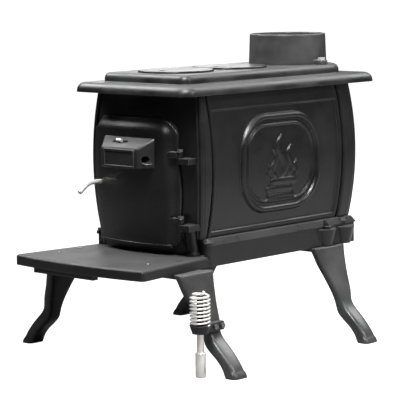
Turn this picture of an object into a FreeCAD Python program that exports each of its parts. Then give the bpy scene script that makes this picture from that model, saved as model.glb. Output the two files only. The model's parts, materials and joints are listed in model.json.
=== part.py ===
import FreeCAD, Part
import math
import os
import re
from Sketcher import Constraint

# Free-standing cast iron wood stove, in millimetres.
# X runs across the stove, the door faces -Y, Z is up and the feet stand on Z = 0.
# The origin is the middle of the stove's footprint, from the hearth's front to the cornice's rear.

# Driving dimensions, grouped by the piece that they belong to
SIZES = {
    # whole stove
    "overall_length": 755,
    "overrun": 40,
    "hearth_depth": 181.5,
    "rear_overhang": 77.5,
    "seat_gap": 0.3,
    # legs
    "leg_height": 190,
    "leg_width": 98,
    "leg_depth": 62,
    "leg_reach": 113,
    "leg_flange": 9,
    "leg_flange_width": 80,
    "front_leg_shoulder": 188,
    "rear_leg_inset": 22,
    "leg_forward": 28,
    "rear_leg_setback": 93,
    # base
    "base_height": 41,
    "ledge_height": 13,
    "ledge_width": 8,
    "base_half_width": 154,
    "base_setback": 36,
    "base_rear_reach": 6,
    "base_corner": 12,
    "base_wall": 10,
    "floor_thickness": 14,
    "lug_top_radius": 27,
    "lug_foot_radius": 18,
    "lug_drop": 5,
    "rear_lug_setback": 32,
    # hearth
    "hearth_thickness": 20,
    "hearth_front_half_width": 177,
    "hearth_rear_half_width": 152,
    "hearth_tongue": 5,
    "hearth_bow": 14,
    "hearth_corner": 10,
    "hearth_edge": 5,
    "apron_drop": 16,
    "apron_wall": 14,
    "apron_inset": 31,
    "apron_setback": 22,
    "apron_gap": 4,
    "apron_end": 20,
    # walls
    "wall_height": 280,
    "wall_thickness": 7,
    "wall_half_width": 134,
    "wall_bulge": 11,
    "front_plan_radius": 386,
    "relief_root": 3,
    "post_width": 34,
    "post_proud": 7,
    "post_edge": 5,
    "bead_gap": 4,
    "bead_width": 8,
    "bead_proud": 5,
    "bead_edge": 2.5,
    "rail_height": 30,
    "rail_proud": 4,
    "foot_rail_height": 9,
    # medallion on each side wall, its length a share of the field between the beads
    "medallion_shares": 0.637,
    "medallion_offset": 7,
    "medallion_height": 199,
    "medallion_corner": 70,
    "medallion_band": 13,
    "medallion_proud": 4,
    "medallion_step": 20,
    "inner_band": 5,
    "inner_proud": 2.5,
    # flue
    "flue_setback": 32,
    "flue_bore": 76,
    "collar_foot_radius": 82.5,
    "collar_top_radius": 80,
    "collar_height": 63.5,
    "collar_lip": 1.5,
    "ear_reach": 93,
    "ear_radius": 12,
    "ear_thickness": 9,
    "chase_radius": 86,
    "chase_height": 150,
    # top plate
    "cornice_half_width": 158,
    "cornice_overhang": 24,
    "cornice_thickness": 20,
    "cornice_corner": 30,
    "cornice_edge": 8.5,
    "tier_half_width": 115.7,
    "tier_setback": 43,
    "tier_rear_setback": 17.5,
    "tier_height": 18,
    "tier_front_corner": 20,
    "tier_rear_corner": 98,
    "tier_edge": 7,
    # lids, which fill the cooktop between its front edge and the flue
    "lid_front_gap": 21.7,
    "lid_gap": 9.2,
    "lid_rear_gap": 27.6,
    "lid_clearance": 0.8,
    "lid_proud": 4,
    "lid_seat_depth": 7,
    "lid_seat_width": 9,
    "lid_plug_depth": 8,
    "lid_edge": 2,
    "lifter_width": 12,
    "lifter_length": 22,
    "lifter_depth": 5,
    # door
    "door_left": 122,
    "door_right": 104,
    "door_rise": 16,
    "door_height": 252,
    "door_corner": 34,
    "door_flange": 6,
    "door_raise": 7,
    "door_bevel": 9,
    "door_overlap": 12,
    "door_gap": 3.2,
    "gasket_inset": 3,
    "gasket_width": 7,
    # hinges
    "hinge_place": 112,
    "hinge_setback": 6,
    "hinge_upper": 404,
    "hinge_lower": 274,
    "knuckle_radius": 7,
    "knuckle_height": 12,
    "strap_length": 20,
    "strap_depth": 20,
    "lug_reach": 16,
    "lug_wing": 28,
    "hinge_pin_radius": 3,
    "hinge_pin_clearance": 0.05,
    "hinge_head_radius": 6,
    "hinge_head_height": 4,
    # draft box and its slide
    "draft_centre": 10.7,
    "draft_foot": 380,
    "draft_width": 147,
    "draft_height": 62,
    "draft_face_width": 98.6,
    "draft_face_height": 40,
    "draft_reach": 23,
    "draft_wall": 5,
    "draft_frame_width": 84,
    "draft_frame_height": 36,
    "draft_frame_band": 4,
    "draft_frame_proud": 2,
    "slide_width": 66,
    "slide_height": 31,
    "slide_thickness": 3,
    "slide_back": 9,
    "slide_clearance": 0.6,
    "slide_travel": 14,
    "tab_width": 12,
    "tab_height": 19,
    "tab_offset": 10,
    "port_radius": 7,
    "air_hole_radius": 14,
    # latch
    "latch_place": 96,
    "latch_level": 346,
    "latch_radius": 4.8,
    "latch_clearance": 0.3,
    "latch_reach": 30,
    "lever_forward": 34,
    "lever_drop": 21,
    "tongue_length": 32,
    "tongue_width": 12,
    "tongue_thickness": 6,
    "tongue_setback": 37,
    "latch_nut_radius": 9,
    "latch_nut_height": 7,
    # fasteners
    "leg_bolt_radius": 4,
    "leg_bolt_head": 8,
    "leg_bolt_head_height": 5.5,
    "leg_bolt_grip": 12,
    "leg_bolt_place": 138,
    "rear_bolt_place": 156,
    "corner_boss_radius": 10,
    "corner_boss_inset": 8,
    "corner_bolt_depth": 22,
    "corner_bolt_inset": 40,
    "hearth_bolt_place": 123,
    "hearth_bolt_reach": 98,
    "hearth_bolt_tail": 12,
    "bolt_clearance": 0.3,
    "spot_face": 1.5,
    "rod_radius": 5,
    "rod_inset": 40,
    "front_rod_setback": 64,
    "rear_rod_setback": 20,
    "rod_depth": 14,
    "rod_nut_radius": 9,
    "rod_nut_height": 8,
    "rod_tail": 4,
    # log grate, between the tie rods
    "grate_front_gap": 22,
    "grate_rear_gap": 50,
    "grate_width": 180,
    "grate_bar": 12,
    "grate_gap": 18,
    "grate_foot": 12,
    # removable handle and its holder
    "handle_place": 234,
    "handle_reach": 47,
    "holder_shares": 0.455,
    "holder_height": 16,
    "holder_radius": 20.5,
    "holder_foot_radius": 15,
    "holder_bore": 12,
    "holder_strap_depth": 14,
    "holder_strap_proud": 5,
    "holder_strap_length": 62,
    "holder_bolt_gap": 19,
    "holder_bolt_head": 5.5,
    "holder_bolt_head_height": 3.5,
    "handle_flange": 20,
    "handle_flange_height": 3,
    "shank_radius": 6.5,
    "grip_rise": 71,
    "socket_radius": 9.5,
    "socket_top": 50,
    "socket_foot": 3,
    "cap_radius": 12,
    "cap_height": 5,
    "wire_radius": 1.7,
    "coil_radius": 19.5,
    "coil_neck": 9,
    "coil_turns": 8,
    "coil_taper_turns": 2,
}

# Places worked out from the driving dimensions
PLACES = {
    "hearth_top": "leg_height + hearth_thickness",
    "skirt_top": "leg_height + base_height",
    "wall_foot": "skirt_top + ledge_height",
    "wall_top": "wall_foot + wall_height",
    "wall_middle": "wall_foot + wall_height / 2",
    "wall_radius": "(wall_height ^ 2 / 4 + wall_bulge ^ 2) / (2 * wall_bulge)",
    "side_crown": "wall_half_width + wall_bulge",
    "cornice_rear": "overall_length / 2",
    "wall_rear": "cornice_rear - rear_overhang",
    "rear_crown": "wall_rear + wall_bulge",
    "base_rear": "wall_rear + base_rear_reach",
    "rear_leg_place": "wall_rear - rear_leg_setback",
    "rear_lug_place": "wall_rear - rear_lug_setback",
    "corner_boss_place": "base_half_width - corner_boss_inset",
    "rod_place": "base_half_width - rod_inset",
    "rear_rod_place": "wall_rear - rear_rod_setback",
    "flue_place": "wall_rear - flue_setback",
    "tier_rear": "cornice_rear - tier_rear_setback",
    "front_crown": "overall_length / 2 - hearth_depth",
    "base_front": "front_crown - base_setback",
    "hearth_rear": "base_front - hearth_tongue",
    "cornice_front": "front_crown + cornice_overhang",
    "tier_front": "cornice_front - tier_setback",
    "front_leg_place": "front_crown + leg_forward",
    "front_rod_place": "front_crown - front_rod_setback",
    "hearth_bolt_forward": "front_crown + hearth_bolt_reach",
    "hinge_forward": "front_crown - hinge_setback",
    "latch_forward": "front_crown + latch_reach",
    "tongue_back": "front_crown - tongue_setback",
    "handle_forward": "front_leg_place + handle_reach",
    "lid_run": "tier_front + flue_place - collar_foot_radius",
    "lid_radius": "(lid_run - lid_front_gap - lid_gap - lid_rear_gap) / 4",
    "front_lid_place": "tier_front - lid_front_gap - lid_radius",
    "rear_lid_place": "2 * lid_radius + lid_gap - front_lid_place",
    "post_end": "wall_thickness + post_width + 3 * post_edge - front_crown",
    "rear_post_start": "rear_crown - wall_thickness - post_width",
    "field_front": "post_end + bead_gap + bead_width",
    "field_rear": "rear_post_start - bead_gap - bead_width",
    "medallion_length": "(field_rear - field_front) * medallion_shares",
    "medallion_place": "(field_rear + field_front) / 2 + medallion_offset",
    "grate_front": "grate_front_gap - front_rod_place",
    "grate_rear": "rear_rod_place - grate_rear_gap",
    "tier_foot": "wall_top + cornice_thickness",
    "cook_top": "tier_foot + tier_height",
    "front_axis": "front_plan_radius - front_crown",
    "door_foot": "hearth_top + door_rise",
    "door_top": "door_foot + door_height",
    "door_face": "door_gap + door_flange + door_raise",
    "lid_hole": "lid_radius - lid_seat_width",
    "hearth_bow_radius": "(hearth_front_half_width ^ 2 + hearth_bow ^ 2) / (2 * hearth_bow)",
    "draft_top": "draft_foot + draft_height",
    "draft_face_top": "draft_foot + draft_face_height",
    "draft_front": "front_crown + door_face + draft_reach",
    "draft_back": "front_crown + door_face",
    "slide_front": "draft_back + slide_back",
    "slide_foot": "draft_foot + draft_wall + slide_clearance",
    "holder_foot": "leg_height * holder_shares",
    "holder_top": "holder_foot + holder_height",
    "shank_top": "holder_top + grip_rise",
    "flange_foot": "holder_top + seat_gap",
    "coil_foot": "flange_foot + handle_flange_height",
    "shank_cap": "shank_top - cap_height",
}

# Leg sections from the shoulder down: height, reach, depth and width as shares of the leg's sizes
LEG_SHARES = [
    (1.00, 0.00, 0.40, 1.00),
    (0.92, 0.045, 0.40, 0.90),
    (0.816, 0.106, 0.40, 0.80),
    (0.684, 0.21, 0.41, 0.63),
    (0.526, 0.345, 0.42, 0.48),
    (0.40, 0.42, 0.42, 0.40),
    (0.316, 0.50, 0.43, 0.36),
    (0.25, 0.615, 0.47, 0.35),
    (0.19, 0.73, 0.50, 0.36),
    (0.105, 0.885, 0.49, 0.385),
    (0.042, 0.975, 0.46, 0.41),
    (0.00, 1.00, 0.46, 0.42),
]
LEG_ROUND_SHARE = 0.22

doc = FreeCAD.newDocument("WoodStove")
sheet = doc.addObject("Spreadsheet::Sheet", "Sizes")
places = doc.addObject("App::VarSet", "Places")
WORD = re.compile(r"[a-z][a-z_0-9]*")
ALIKE = 1e-3
PARALLEL = 1 - ALIKE
ALONG = {
    "x": FreeCAD.Rotation(FreeCAD.Vector(0, 1, 0), 90),
    "y": FreeCAD.Rotation(FreeCAD.Vector(1, 0, 0), -90),
    "z": FreeCAD.Rotation(),
}
nodes = {}


def formula(text):
    """Write a sum of size names as an expression of the document."""
    def source(found):
        word = found.group()
        if word in SIZES:
            return "Sizes." + word
        return "Places." + word if word in PLACES else word
    return WORD.sub(source, text)


def fill_sheet():
    for row, (alias, number) in enumerate(SIZES.items(), 1):
        sheet.set("A%d" % row, alias)
        sheet.set("B%d" % row, str(number))
        sheet.setAlias("B%d" % row, alias)
    doc.recompute()
    for name, text in PLACES.items():
        places.addProperty("App::PropertyFloat", name, "Places")
        places.setExpression(name, formula(text))
        doc.recompute()


def value(name):
    holder = sheet if name in SIZES else places
    return float(getattr(holder, name))


def bind(item, **formulas):
    for prop, text in formulas.items():
        item.setExpression(prop, formula(text))
    return item


def put(item, x, y, z):
    for axis, text in zip("xyz", (x, y, z)):
        item.setExpression("Placement.Base." + axis, formula(text))
    return item


def box(name, x, y, z):
    """A block between two formulas on each axis."""
    item = doc.addObject("Part::Box", name)
    for prop, (low, high) in zip(("Length", "Width", "Height"), (x, y, z)):
        item.setExpression(prop, formula("(%s) - (%s)" % (high, low)))
    return put(item, x[0], y[0], z[0])


def rod(name, along, radius, start, length):
    """A round bar from a start point, along one axis."""
    item = doc.addObject("Part::Cylinder", name)
    item.Placement = FreeCAD.Placement(FreeCAD.Vector(), ALONG[along])
    bind(item, Radius=radius, Height=length)
    return put(item, *start)


def cone(name, foot, top, start, length):
    item = doc.addObject("Part::Cone", name)
    bind(item, Radius1=foot, Radius2=top, Height=length)
    return put(item, *start)


def hexagon(name, along, radius, start, length):
    item = doc.addObject("Part::Prism", name)
    item.Polygon = 6
    item.Placement = FreeCAD.Placement(FreeCAD.Vector(), ALONG[along])
    bind(item, Circumradius=radius, Height=length)
    return put(item, *start)


def ball(name, radius, centre):
    item = doc.addObject("Part::Sphere", name)
    bind(item, Radius=radius)
    return put(item, *centre)


def fuse(name, *items):
    item = doc.addObject("Part::MultiFuse", name)
    item.Shapes = list(items)
    return item


def common(name, *items):
    item = doc.addObject("Part::MultiCommon", name)
    item.Shapes = list(items)
    return item


def cut(name, base, *tools):
    item = doc.addObject("Part::Cut", name)
    item.Base = base
    item.Tool = tools[0] if len(tools) == 1 else fuse(name + "_tools", *tools)
    return item


def group(name, *items):
    item = doc.addObject("Part::Compound", name)
    item.Links = list(items)
    return item


def rounded(name, base, size_name, pick):
    """Round the picked edges of a base with a radius from the sheet."""
    doc.recompute()
    radius = value(size_name)
    item = doc.addObject("Part::Fillet", name)
    item.Base = base
    edges = enumerate(base.Shape.Edges, 1)
    item.Edges = [(number, radius, radius) for number, edge in edges if pick(edge)]
    return item


def straight(axis):
    """Pick straight edges that run along one axis."""
    def pick(edge):
        if edge.Curve.TypeId != "Part::GeomLine":
            return False
        return abs(getattr(edge.Curve.Direction, axis)) > PARALLEL
    return pick


def level_edges(level):
    """Pick edges that lie flat at one height."""
    def pick(edge):
        bounds = edge.BoundBox
        return max(abs(bounds.ZMin - level), abs(bounds.ZMax - level)) < ALIKE
    return pick


def mirrored(name, source):
    item = doc.addObject("Part::Mirroring", name)
    item.Source = source
    item.Normal = FreeCAD.Vector(1, 0, 0)
    item.Base = FreeCAD.Vector()
    return item


def keep(node, item):
    item.Label = node
    nodes[node] = item
    return item


def origin_part(body, role):
    return next(item for item in body.Origin.OriginFeatures if item.Role == role)


def new_sketch(body, name, plane):
    sketch = body.newObject("Sketcher::SketchObject", name)
    sketch.AttachmentSupport = [(origin_part(body, plane), "")]
    sketch.MapMode = "FlatFace"
    return sketch


def fix(sketch, text, kind, *picks):
    """Add a measured constraint and bind it to a formula."""
    number = sketch.addConstraint(Constraint(kind, *picks))
    sketch.setExpression("Constraints[%d]" % number, formula(text))


def join(sketch, *picks):
    sketch.addConstraint(Constraint("Coincident", *picks))


def front_shell(name, inner, outer):
    """The stove's bowed and bulged front as a shell between two offsets, in front positive."""
    body = doc.addObject("PartDesign::Body", name)
    sketch = new_sketch(body, name + "_profile", "XZ_Plane")
    doc.recompute()
    radius = value("wall_radius")
    hub = FreeCAD.Vector(value("front_plan_radius") - radius, value("wall_middle"), 0)
    spread = math.asin(value("wall_height") / radius)
    for _ in (outer, inner):
        circle = Part.Circle(hub, FreeCAD.Vector(0, 0, 1), radius)
        sketch.addGeometry(Part.ArcOfCircle(circle, -spread, spread))
    for end in (1, -1):
        reach = FreeCAD.Vector(math.cos(spread), end * math.sin(spread), 0)
        near = hub + reach * radius
        far = hub + reach * (radius - value("wall_thickness"))
        sketch.addGeometry(Part.LineSegment(near, far))
    join(sketch, 0, 3, 1, 3)
    join(sketch, 2, 1, 0, 2)
    join(sketch, 2, 2, 1, 2)
    join(sketch, 3, 1, 0, 1)
    join(sketch, 3, 2, 1, 1)
    sketch.addConstraint(Constraint("Horizontal", 2))
    sketch.addConstraint(Constraint("Horizontal", 3))
    fix(sketch, "wall_radius - front_plan_radius", "DistanceX", 0, 3, -1, 1, 1.0)
    fix(sketch, "wall_middle", "DistanceY", -1, 1, 0, 3, 1.0)
    fix(sketch, "wall_radius + (%s)" % outer, "Radius", 0, radius)
    fix(sketch, "wall_radius + (%s)" % inner, "Radius", 1, radius)
    fix(sketch, "wall_top + overrun", "DistanceY", -1, 1, 2, 1, 1.0)
    fix(sketch, "leg_height - overrun", "DistanceY", -1, 1, 3, 1, 1.0)
    turn = body.newObject("PartDesign::Revolution", name + "_turn")
    turn.Profile = sketch
    turn.ReferenceAxis = (origin_part(body, "Z_Axis"), [""])
    turn.Angle = 180
    turn.Midplane = True
    body.Placement = FreeCAD.Placement(FreeCAD.Vector(), FreeCAD.Rotation(FreeCAD.Vector(0, 0, 1), -90))
    return put(body, "0", "front_axis", "0")


def side_skin(name, inner, outer):
    """The right wall's barrel curve as a slab between two offsets, outward positive."""
    span = ("0", "-overall_length / 2", "wall_middle")
    place = ("side_crown - wall_radius",) + span[1:]
    skin = rod(name + "_outer", "y", "wall_radius + (%s)" % outer, place, "overall_length")
    hollow = rod(name + "_inner", "y", "wall_radius + (%s)" % inner, place, "overall_length")
    right = box(name + "_right", ("0", "side_crown + overrun"),
                ("-overall_length / 2", "overall_length / 2"), ("wall_foot", "wall_top"))
    return common(name, cut(name + "_ring", skin, hollow), right)


def rear_skin(name, inner, outer):
    """The rear wall's barrel curve as a slab between two offsets, rearward positive."""
    place = ("-cornice_half_width", "rear_crown - wall_radius", "wall_middle")
    skin = rod(name + "_outer", "x", "wall_radius + (%s)" % outer, place, "2 * cornice_half_width")
    hollow = rod(name + "_inner", "x", "wall_radius + (%s)" % inner, place, "2 * cornice_half_width")
    rear = box(name + "_rear", ("-cornice_half_width", "cornice_half_width"),
               ("0", "rear_crown + overrun"), ("wall_foot", "wall_top"))
    return common(name, cut(name + "_ring", skin, hollow), rear)


def wall_envelope(name, inset):
    """Everything between the two barrel-curved side walls, inset from their outer faces."""
    right = rod(name + "_right", "y", "wall_radius - (%s)" % inset,
                ("side_crown - wall_radius", "-overall_length / 2", "wall_middle"), "overall_length")
    left = rod(name + "_left", "y", "wall_radius - (%s)" % inset,
               ("wall_radius - side_crown", "-overall_length / 2", "wall_middle"), "overall_length")
    return common(name, right, left)


def base_plate():
    block = box("base_block", ("-base_half_width", "base_half_width"), ("-base_front", "base_rear"),
                ("leg_height", "skirt_top"))
    block = rounded("base_rounded", block, "base_corner", straight("z"))
    ledge = doc.addObject("Part::Wedge", "base_ledge")
    bind(ledge, Xmin="-base_half_width", Xmax="base_half_width", Zmin="0", Zmax="base_front + base_rear",
         X2min="ledge_width - base_half_width", X2max="base_half_width - ledge_width",
         Z2min="ledge_width", Z2max="base_front + base_rear - ledge_width", Ymin="0", Ymax="ledge_height")
    ledge.Placement = FreeCAD.Placement(FreeCAD.Vector(), FreeCAD.Rotation(FreeCAD.Vector(1, 0, 0), 90))
    put(ledge, "0", "base_rear", "skirt_top")
    bosses = []
    for side in ("-", ""):
        for number, place in enumerate(("rear_leg_place", "rear_lug_place")):
            name = "base_lug%s_%d" % ("_left" if side else "", number)
            bosses.append(cone(name, "lug_foot_radius", "lug_top_radius",
                               (side + "(base_half_width - lug_foot_radius / 2)", place, "leg_height"),
                               "base_height - lug_drop"))
        for number, place in enumerate(("ledge_width - base_front", "base_rear - corner_bolt_inset")):
            name = "base_boss%s_%d" % ("_left" if side else "", number)
            bosses.append(rod(name, "z", "corner_boss_radius",
                              (side + "corner_boss_place", place, "skirt_top"), "ledge_height / 2"))
    solid = fuse("base_solid", block, ledge, *bosses)
    inside = "base_half_width - base_wall"
    under = box("base_under", ("-(%s)" % inside, inside), ("base_wall - hearth_rear", "base_rear - base_wall"),
                ("leg_height - overrun", "wall_foot - floor_thickness"))
    notch = box("base_notch", ("-base_half_width - overrun", "base_half_width + overrun"),
                ("-base_front - overrun", "seat_gap - hearth_rear"),
                ("leg_height - overrun", "hearth_top + seat_gap"))
    holes = [rod("base_rod_%d" % number, "z", "rod_radius + bolt_clearance", (x, y, "leg_height"), "wall_top")
             for number, (x, y) in enumerate(rod_places())]
    for number, (x, y) in enumerate(corner_places()):
        holes.append(rod("base_corner_%d" % number, "z", "leg_bolt_radius + bolt_clearance",
                         (x, y, "skirt_top + ledge_height / 2 - corner_bolt_depth"), "overall_length"))
        holes.append(rod("base_corner_face_%d" % number, "z", "leg_bolt_head + spot_face",
                         (x, y, "skirt_top + ledge_height / 2"), "overrun"))
    for side in ("-", ""):
        tail = "_left" if side else ""
        place = (side + "rear_bolt_place", "rear_leg_place")
        holes.append(rod("base_leg" + tail, "z", "leg_bolt_radius + bolt_clearance",
                         place + ("leg_height - overrun",), "overall_length"))
        holes.append(rod("base_leg_face" + tail, "z", "leg_bolt_head + spot_face",
                         place + ("skirt_top - lug_drop",), "overrun"))
    ahead = common("base_ahead", front_shell("base_front_trim", "-wall_thickness - seat_gap", "2 * overrun"),
                   box("base_ahead_box", ("-side_crown", "side_crown"), ("-cornice_front - overrun", "0"),
                       ("hearth_top", "wall_top")))
    hollow = cut("base_hollow", cut("base_trimmed", solid, ahead), under, notch)
    return keep("base_plate", cut("base_final", hollow, *holes))


def rod_places():
    return [(side + "rod_place", place) for side in ("-", "") for place in ("-front_rod_place", "rear_rod_place")]


def corner_places():
    ends = ("ledge_width - base_front", "base_rear - corner_bolt_inset")
    return [(side + "corner_boss_place", place) for side in ("-", "") for place in ends]


def hearth_plate():
    body = doc.addObject("PartDesign::Body", "hearth_body")
    sketch = new_sketch(body, "hearth_outline", "XY_Plane")
    rear = value("hearth_rear_half_width")
    front = value("hearth_front_half_width")
    back_line = -value("hearth_rear")
    corner_line = value("hearth_bow") - value("overall_length") / 2
    radius = value("hearth_bow_radius")
    hub = FreeCAD.Vector(0, radius - value("overall_length") / 2, 0)
    spread = math.asin(front / radius)
    points = [FreeCAD.Vector(-rear, back_line, 0), FreeCAD.Vector(rear, back_line, 0),
              FreeCAD.Vector(front, corner_line, 0), FreeCAD.Vector(-front, corner_line, 0)]
    sketch.addGeometry(Part.LineSegment(points[0], points[1]))
    sketch.addGeometry(Part.LineSegment(points[1], points[2]))
    circle = Part.Circle(hub, FreeCAD.Vector(0, 0, 1), radius)
    sketch.addGeometry(Part.ArcOfCircle(circle, -math.pi / 2 - spread, -math.pi / 2 + spread))
    sketch.addGeometry(Part.LineSegment(points[3], points[0]))
    join(sketch, 0, 2, 1, 1)
    join(sketch, 1, 2, 2, 2)
    join(sketch, 2, 1, 3, 1)
    join(sketch, 3, 2, 0, 1)
    sketch.addConstraint(Constraint("Symmetric", 0, 1, 0, 2, -2))
    sketch.addConstraint(Constraint("Symmetric", 3, 1, 1, 2, -2))
    fix(sketch, "2 * hearth_rear_half_width", "DistanceX", 0, 1, 0, 2, 1.0)
    fix(sketch, "2 * hearth_front_half_width", "DistanceX", 3, 1, 1, 2, 1.0)
    fix(sketch, "hearth_rear", "DistanceY", 0, 1, -1, 1, 1.0)
    fix(sketch, "overall_length / 2 - hearth_bow", "DistanceY", 1, 2, -1, 1, 1.0)
    fix(sketch, "hearth_bow_radius", "Radius", 2, radius)
    pad = body.newObject("PartDesign::Pad", "hearth_pad")
    pad.Profile = sketch
    pad.setExpression("Length", formula("hearth_thickness"))
    put(body, "0", "0", "leg_height")
    doc.recompute()
    corners = rounded("hearth_corners", body, "hearth_corner",
                      lambda edge: straight("z")(edge) and edge.BoundBox.YMax < back_line - rear / 4)
    doc.recompute()
    top = value("hearth_top")
    edged = rounded("hearth_edged", corners, "hearth_edge",
                    lambda edge: level_edges(top)(edge) and edge.BoundBox.YMin < back_line - rear / 4)
    solid = fuse("hearth_solid", edged, *hearth_apron())
    holes = []
    for side in ("-", ""):
        tail = "_left" if side else ""
        holes.append(rod("hearth_leg_hole" + tail, "z", "leg_bolt_radius + bolt_clearance",
                         (side + "leg_bolt_place", "-front_leg_place", "leg_height - overrun"), "overall_length"))
        holes.append(rod("hearth_small_hole" + tail, "z", "leg_bolt_radius + bolt_clearance",
                         (side + "hearth_bolt_place", "-hearth_bolt_forward", "leg_height - overrun"),
                         "overall_length"))
    return keep("hearth_plate", cut("hearth_final", solid, *holes))


def hearth_apron():
    """Two ribs under the hearth's left corner, set in from its edges and clear of the leg."""
    z = ("leg_height - apron_drop", "leg_height + relief_root")
    reach = "hearth_front_half_width - apron_inset"
    near = "hearth_bow + apron_setback - overall_length / 2"
    far = "-front_leg_place - leg_width / 2 - apron_gap"
    ribs = [box("apron_front", ("-(%s)" % reach, "apron_end"), (near, near + " + apron_wall"), z)]
    ribs.append(box("apron_left", ("-(%s)" % reach, "apron_wall - (%s)" % reach), (near, far), z))
    return ribs


def relief(name, proud, edge, y, z):
    """A raised band of the right wall, rounded along its upright edges where an edge size is given."""
    skin = side_skin(name + "_skin", "-relief_root", proud)
    block = box(name + "_block", ("0", "side_crown + overrun"), y, z)
    band = common(name, skin, block)
    if not edge:
        return band
    doc.recompute()
    outer = value("wall_radius") + value(proud)
    return rounded(name + "_rounded", band, edge,
                   lambda side: side.Curve.TypeId == "Part::GeomCircle"
                   and abs(side.Curve.Radius - outer) < ALIKE)


def racetrack(name, inset):
    """The medallion's outline as a block through the right wall, drawn in by an inset."""
    block = box(name + "_block", ("0", "side_crown + overrun"),
                ("medallion_place - medallion_length / 2 + (%s)" % inset,
                 "medallion_place + medallion_length / 2 - (%s)" % inset),
                ("wall_middle - medallion_height / 2 + (%s)" % inset,
                 "wall_middle + medallion_height / 2 - (%s)" % inset))
    doc.recompute()
    item = doc.addObject("Part::Fillet", name)
    item.Base = block
    shrink = value("medallion_corner") - (value("medallion_length") / 2 - block.Shape.BoundBox.YLength / 2)
    edges = enumerate(block.Shape.Edges, 1)
    item.Edges = [(number, shrink, shrink) for number, edge in edges if straight("x")(edge)]
    return item


def medallion_ring(name, inset, band, proud):
    outline = cut(name + "_outline", racetrack(name + "_outside", inset),
                  racetrack(name + "_inside", "%s + %s" % (inset, band)))
    return common(name, outline, side_skin(name + "_skin", "-relief_root", proud))


def side_panels():
    full = ("wall_foot", "wall_top")
    near, far = "-front_crown - overrun", "rear_crown + overrun"
    wall = common("side_wall", side_skin("side_slab", "-wall_thickness", "0"),
                  box("side_span", ("0", "side_crown + overrun"), (near, far), full))
    parts = [wall]
    parts.append(relief("front_post", "post_proud", "post_edge", (near, "post_end"), full))
    parts.append(relief("front_bead", "bead_proud", "bead_edge", ("post_end + bead_gap", "field_front"), full))
    parts.append(relief("rear_post", "post_proud", "post_edge", ("rear_post_start", far), full))
    parts.append(relief("rear_bead", "bead_proud", "bead_edge", ("field_rear", "rear_post_start - bead_gap"), full))
    between = ("post_end", "rear_post_start")
    parts.append(relief("top_rail", "rail_proud", "", between, ("wall_top - rail_height", "wall_top")))
    parts.append(relief("foot_rail", "rail_proud", "", between, ("wall_foot", "wall_foot + foot_rail_height")))
    parts.append(medallion_ring("medallion", "0", "medallion_band", "medallion_proud"))
    parts.append(medallion_ring("medallion_inner", "medallion_step", "inner_band", "inner_proud"))
    solid = fuse("side_solid", *parts)
    before = front_shell("side_front_trim", "relief_root", "2 * overrun")
    behind = rear_skin("side_rear_trim", "-wall_thickness - seat_gap", "2 * overrun")
    right = keep("right_side_panel", cut("side_final", solid, before, behind))
    keep("left_side_panel", mirrored("left_side", right))


def rounded_door(name, inset, back, ahead):
    """The door's outline as a block along Y, drawn in by an inset."""
    block = box(name + "_block", ("-door_left + (%s)" % inset, "door_right - (%s)" % inset),
                ("-front_crown - (%s)" % ahead, "-front_crown + (%s)" % back),
                ("door_foot + (%s)" % inset, "door_top - (%s)" % inset))
    doc.recompute()
    top = block.Shape.BoundBox.ZMax
    item = doc.addObject("Part::Fillet", name)
    item.Base = block
    radius = value("door_corner") - (value("door_top") - top)
    item.Edges = [(number, radius, radius) for number, edge in enumerate(block.Shape.Edges, 1)
                  if straight("y")(edge) and edge.BoundBox.ZMin > top - radius]
    return item


def front_panel():
    wall = common("front_wall", front_shell("front_slab", "-wall_thickness", "0"),
                  wall_envelope("front_width", "wall_thickness + seat_gap"),
                  box("front_height", ("-cornice_half_width", "cornice_half_width"),
                      ("-cornice_front - overrun", "0"), ("hearth_top", "wall_top")))
    opening = rounded_door("front_opening", "door_overlap", "2 * overrun", "2 * overrun")
    lugs = []
    for name, level in (("upper", "hinge_upper"), ("lower", "hinge_lower")):
        lugs.append(rod("lug_eye_" + name, "z", "knuckle_radius",
                        ("hinge_place", "-hinge_forward", level + " - knuckle_height"),
                        "knuckle_height - seat_gap"))
        block = box("lug_block_" + name, ("hinge_place", "hinge_place + lug_reach"),
                    ("-hinge_forward - knuckle_radius", "-hinge_forward + overrun"),
                    (level + " - knuckle_height", level + " - seat_gap"))
        lugs.append(common("lug_" + name, block, front_shell("lug_root_" + name, "-relief_root", "overrun")))
        wing = box("lug_wing_block_" + name, ("hinge_place", "hinge_place + lug_wing"),
                   ("-hinge_forward - knuckle_radius", "-hinge_forward + overrun"),
                   (level + " - knuckle_height", level + " - seat_gap"))
        clear = front_shell("lug_wing_clear_" + name, "relief_root + seat_gap", "overrun")
        lugs.append(common("lug_wing_" + name, wing, clear))
    pins = [rod("lug_hole_" + name, "z", "hinge_pin_radius + hinge_pin_clearance",
                ("hinge_place", "-hinge_forward", level + " - 2 * knuckle_height"), "4 * knuckle_height")
            for name, level in (("upper", "hinge_upper"), ("lower", "hinge_lower"))]
    solid = fuse("front_solid", cut("front_open", wall, opening), *lugs)
    return keep("front_panel", cut("front_final", solid, *pins))


def back_panel():
    wall = common("back_wall", rear_skin("back_slab", "-wall_thickness", "0"),
                  wall_envelope("back_width", "-post_proud / 2"))
    chase_foot = "wall_top - chase_height"
    outer = rod("chase_outer", "z", "chase_radius", ("0", "flue_place", chase_foot), "chase_height")
    inner = rod("chase_inner", "z", "chase_radius - wall_thickness",
                ("0", "flue_place", chase_foot + " + wall_thickness"), "chase_height")
    rearward = box("chase_rearward", ("-cornice_half_width", "cornice_half_width"),
                   ("wall_rear - wall_thickness", "overall_length"), (chase_foot, "wall_top"))
    shell = common("chase_half", outer, rearward)
    return keep("back_panel", cut("back_final", fuse("back_solid", wall, shell), inner))


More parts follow.
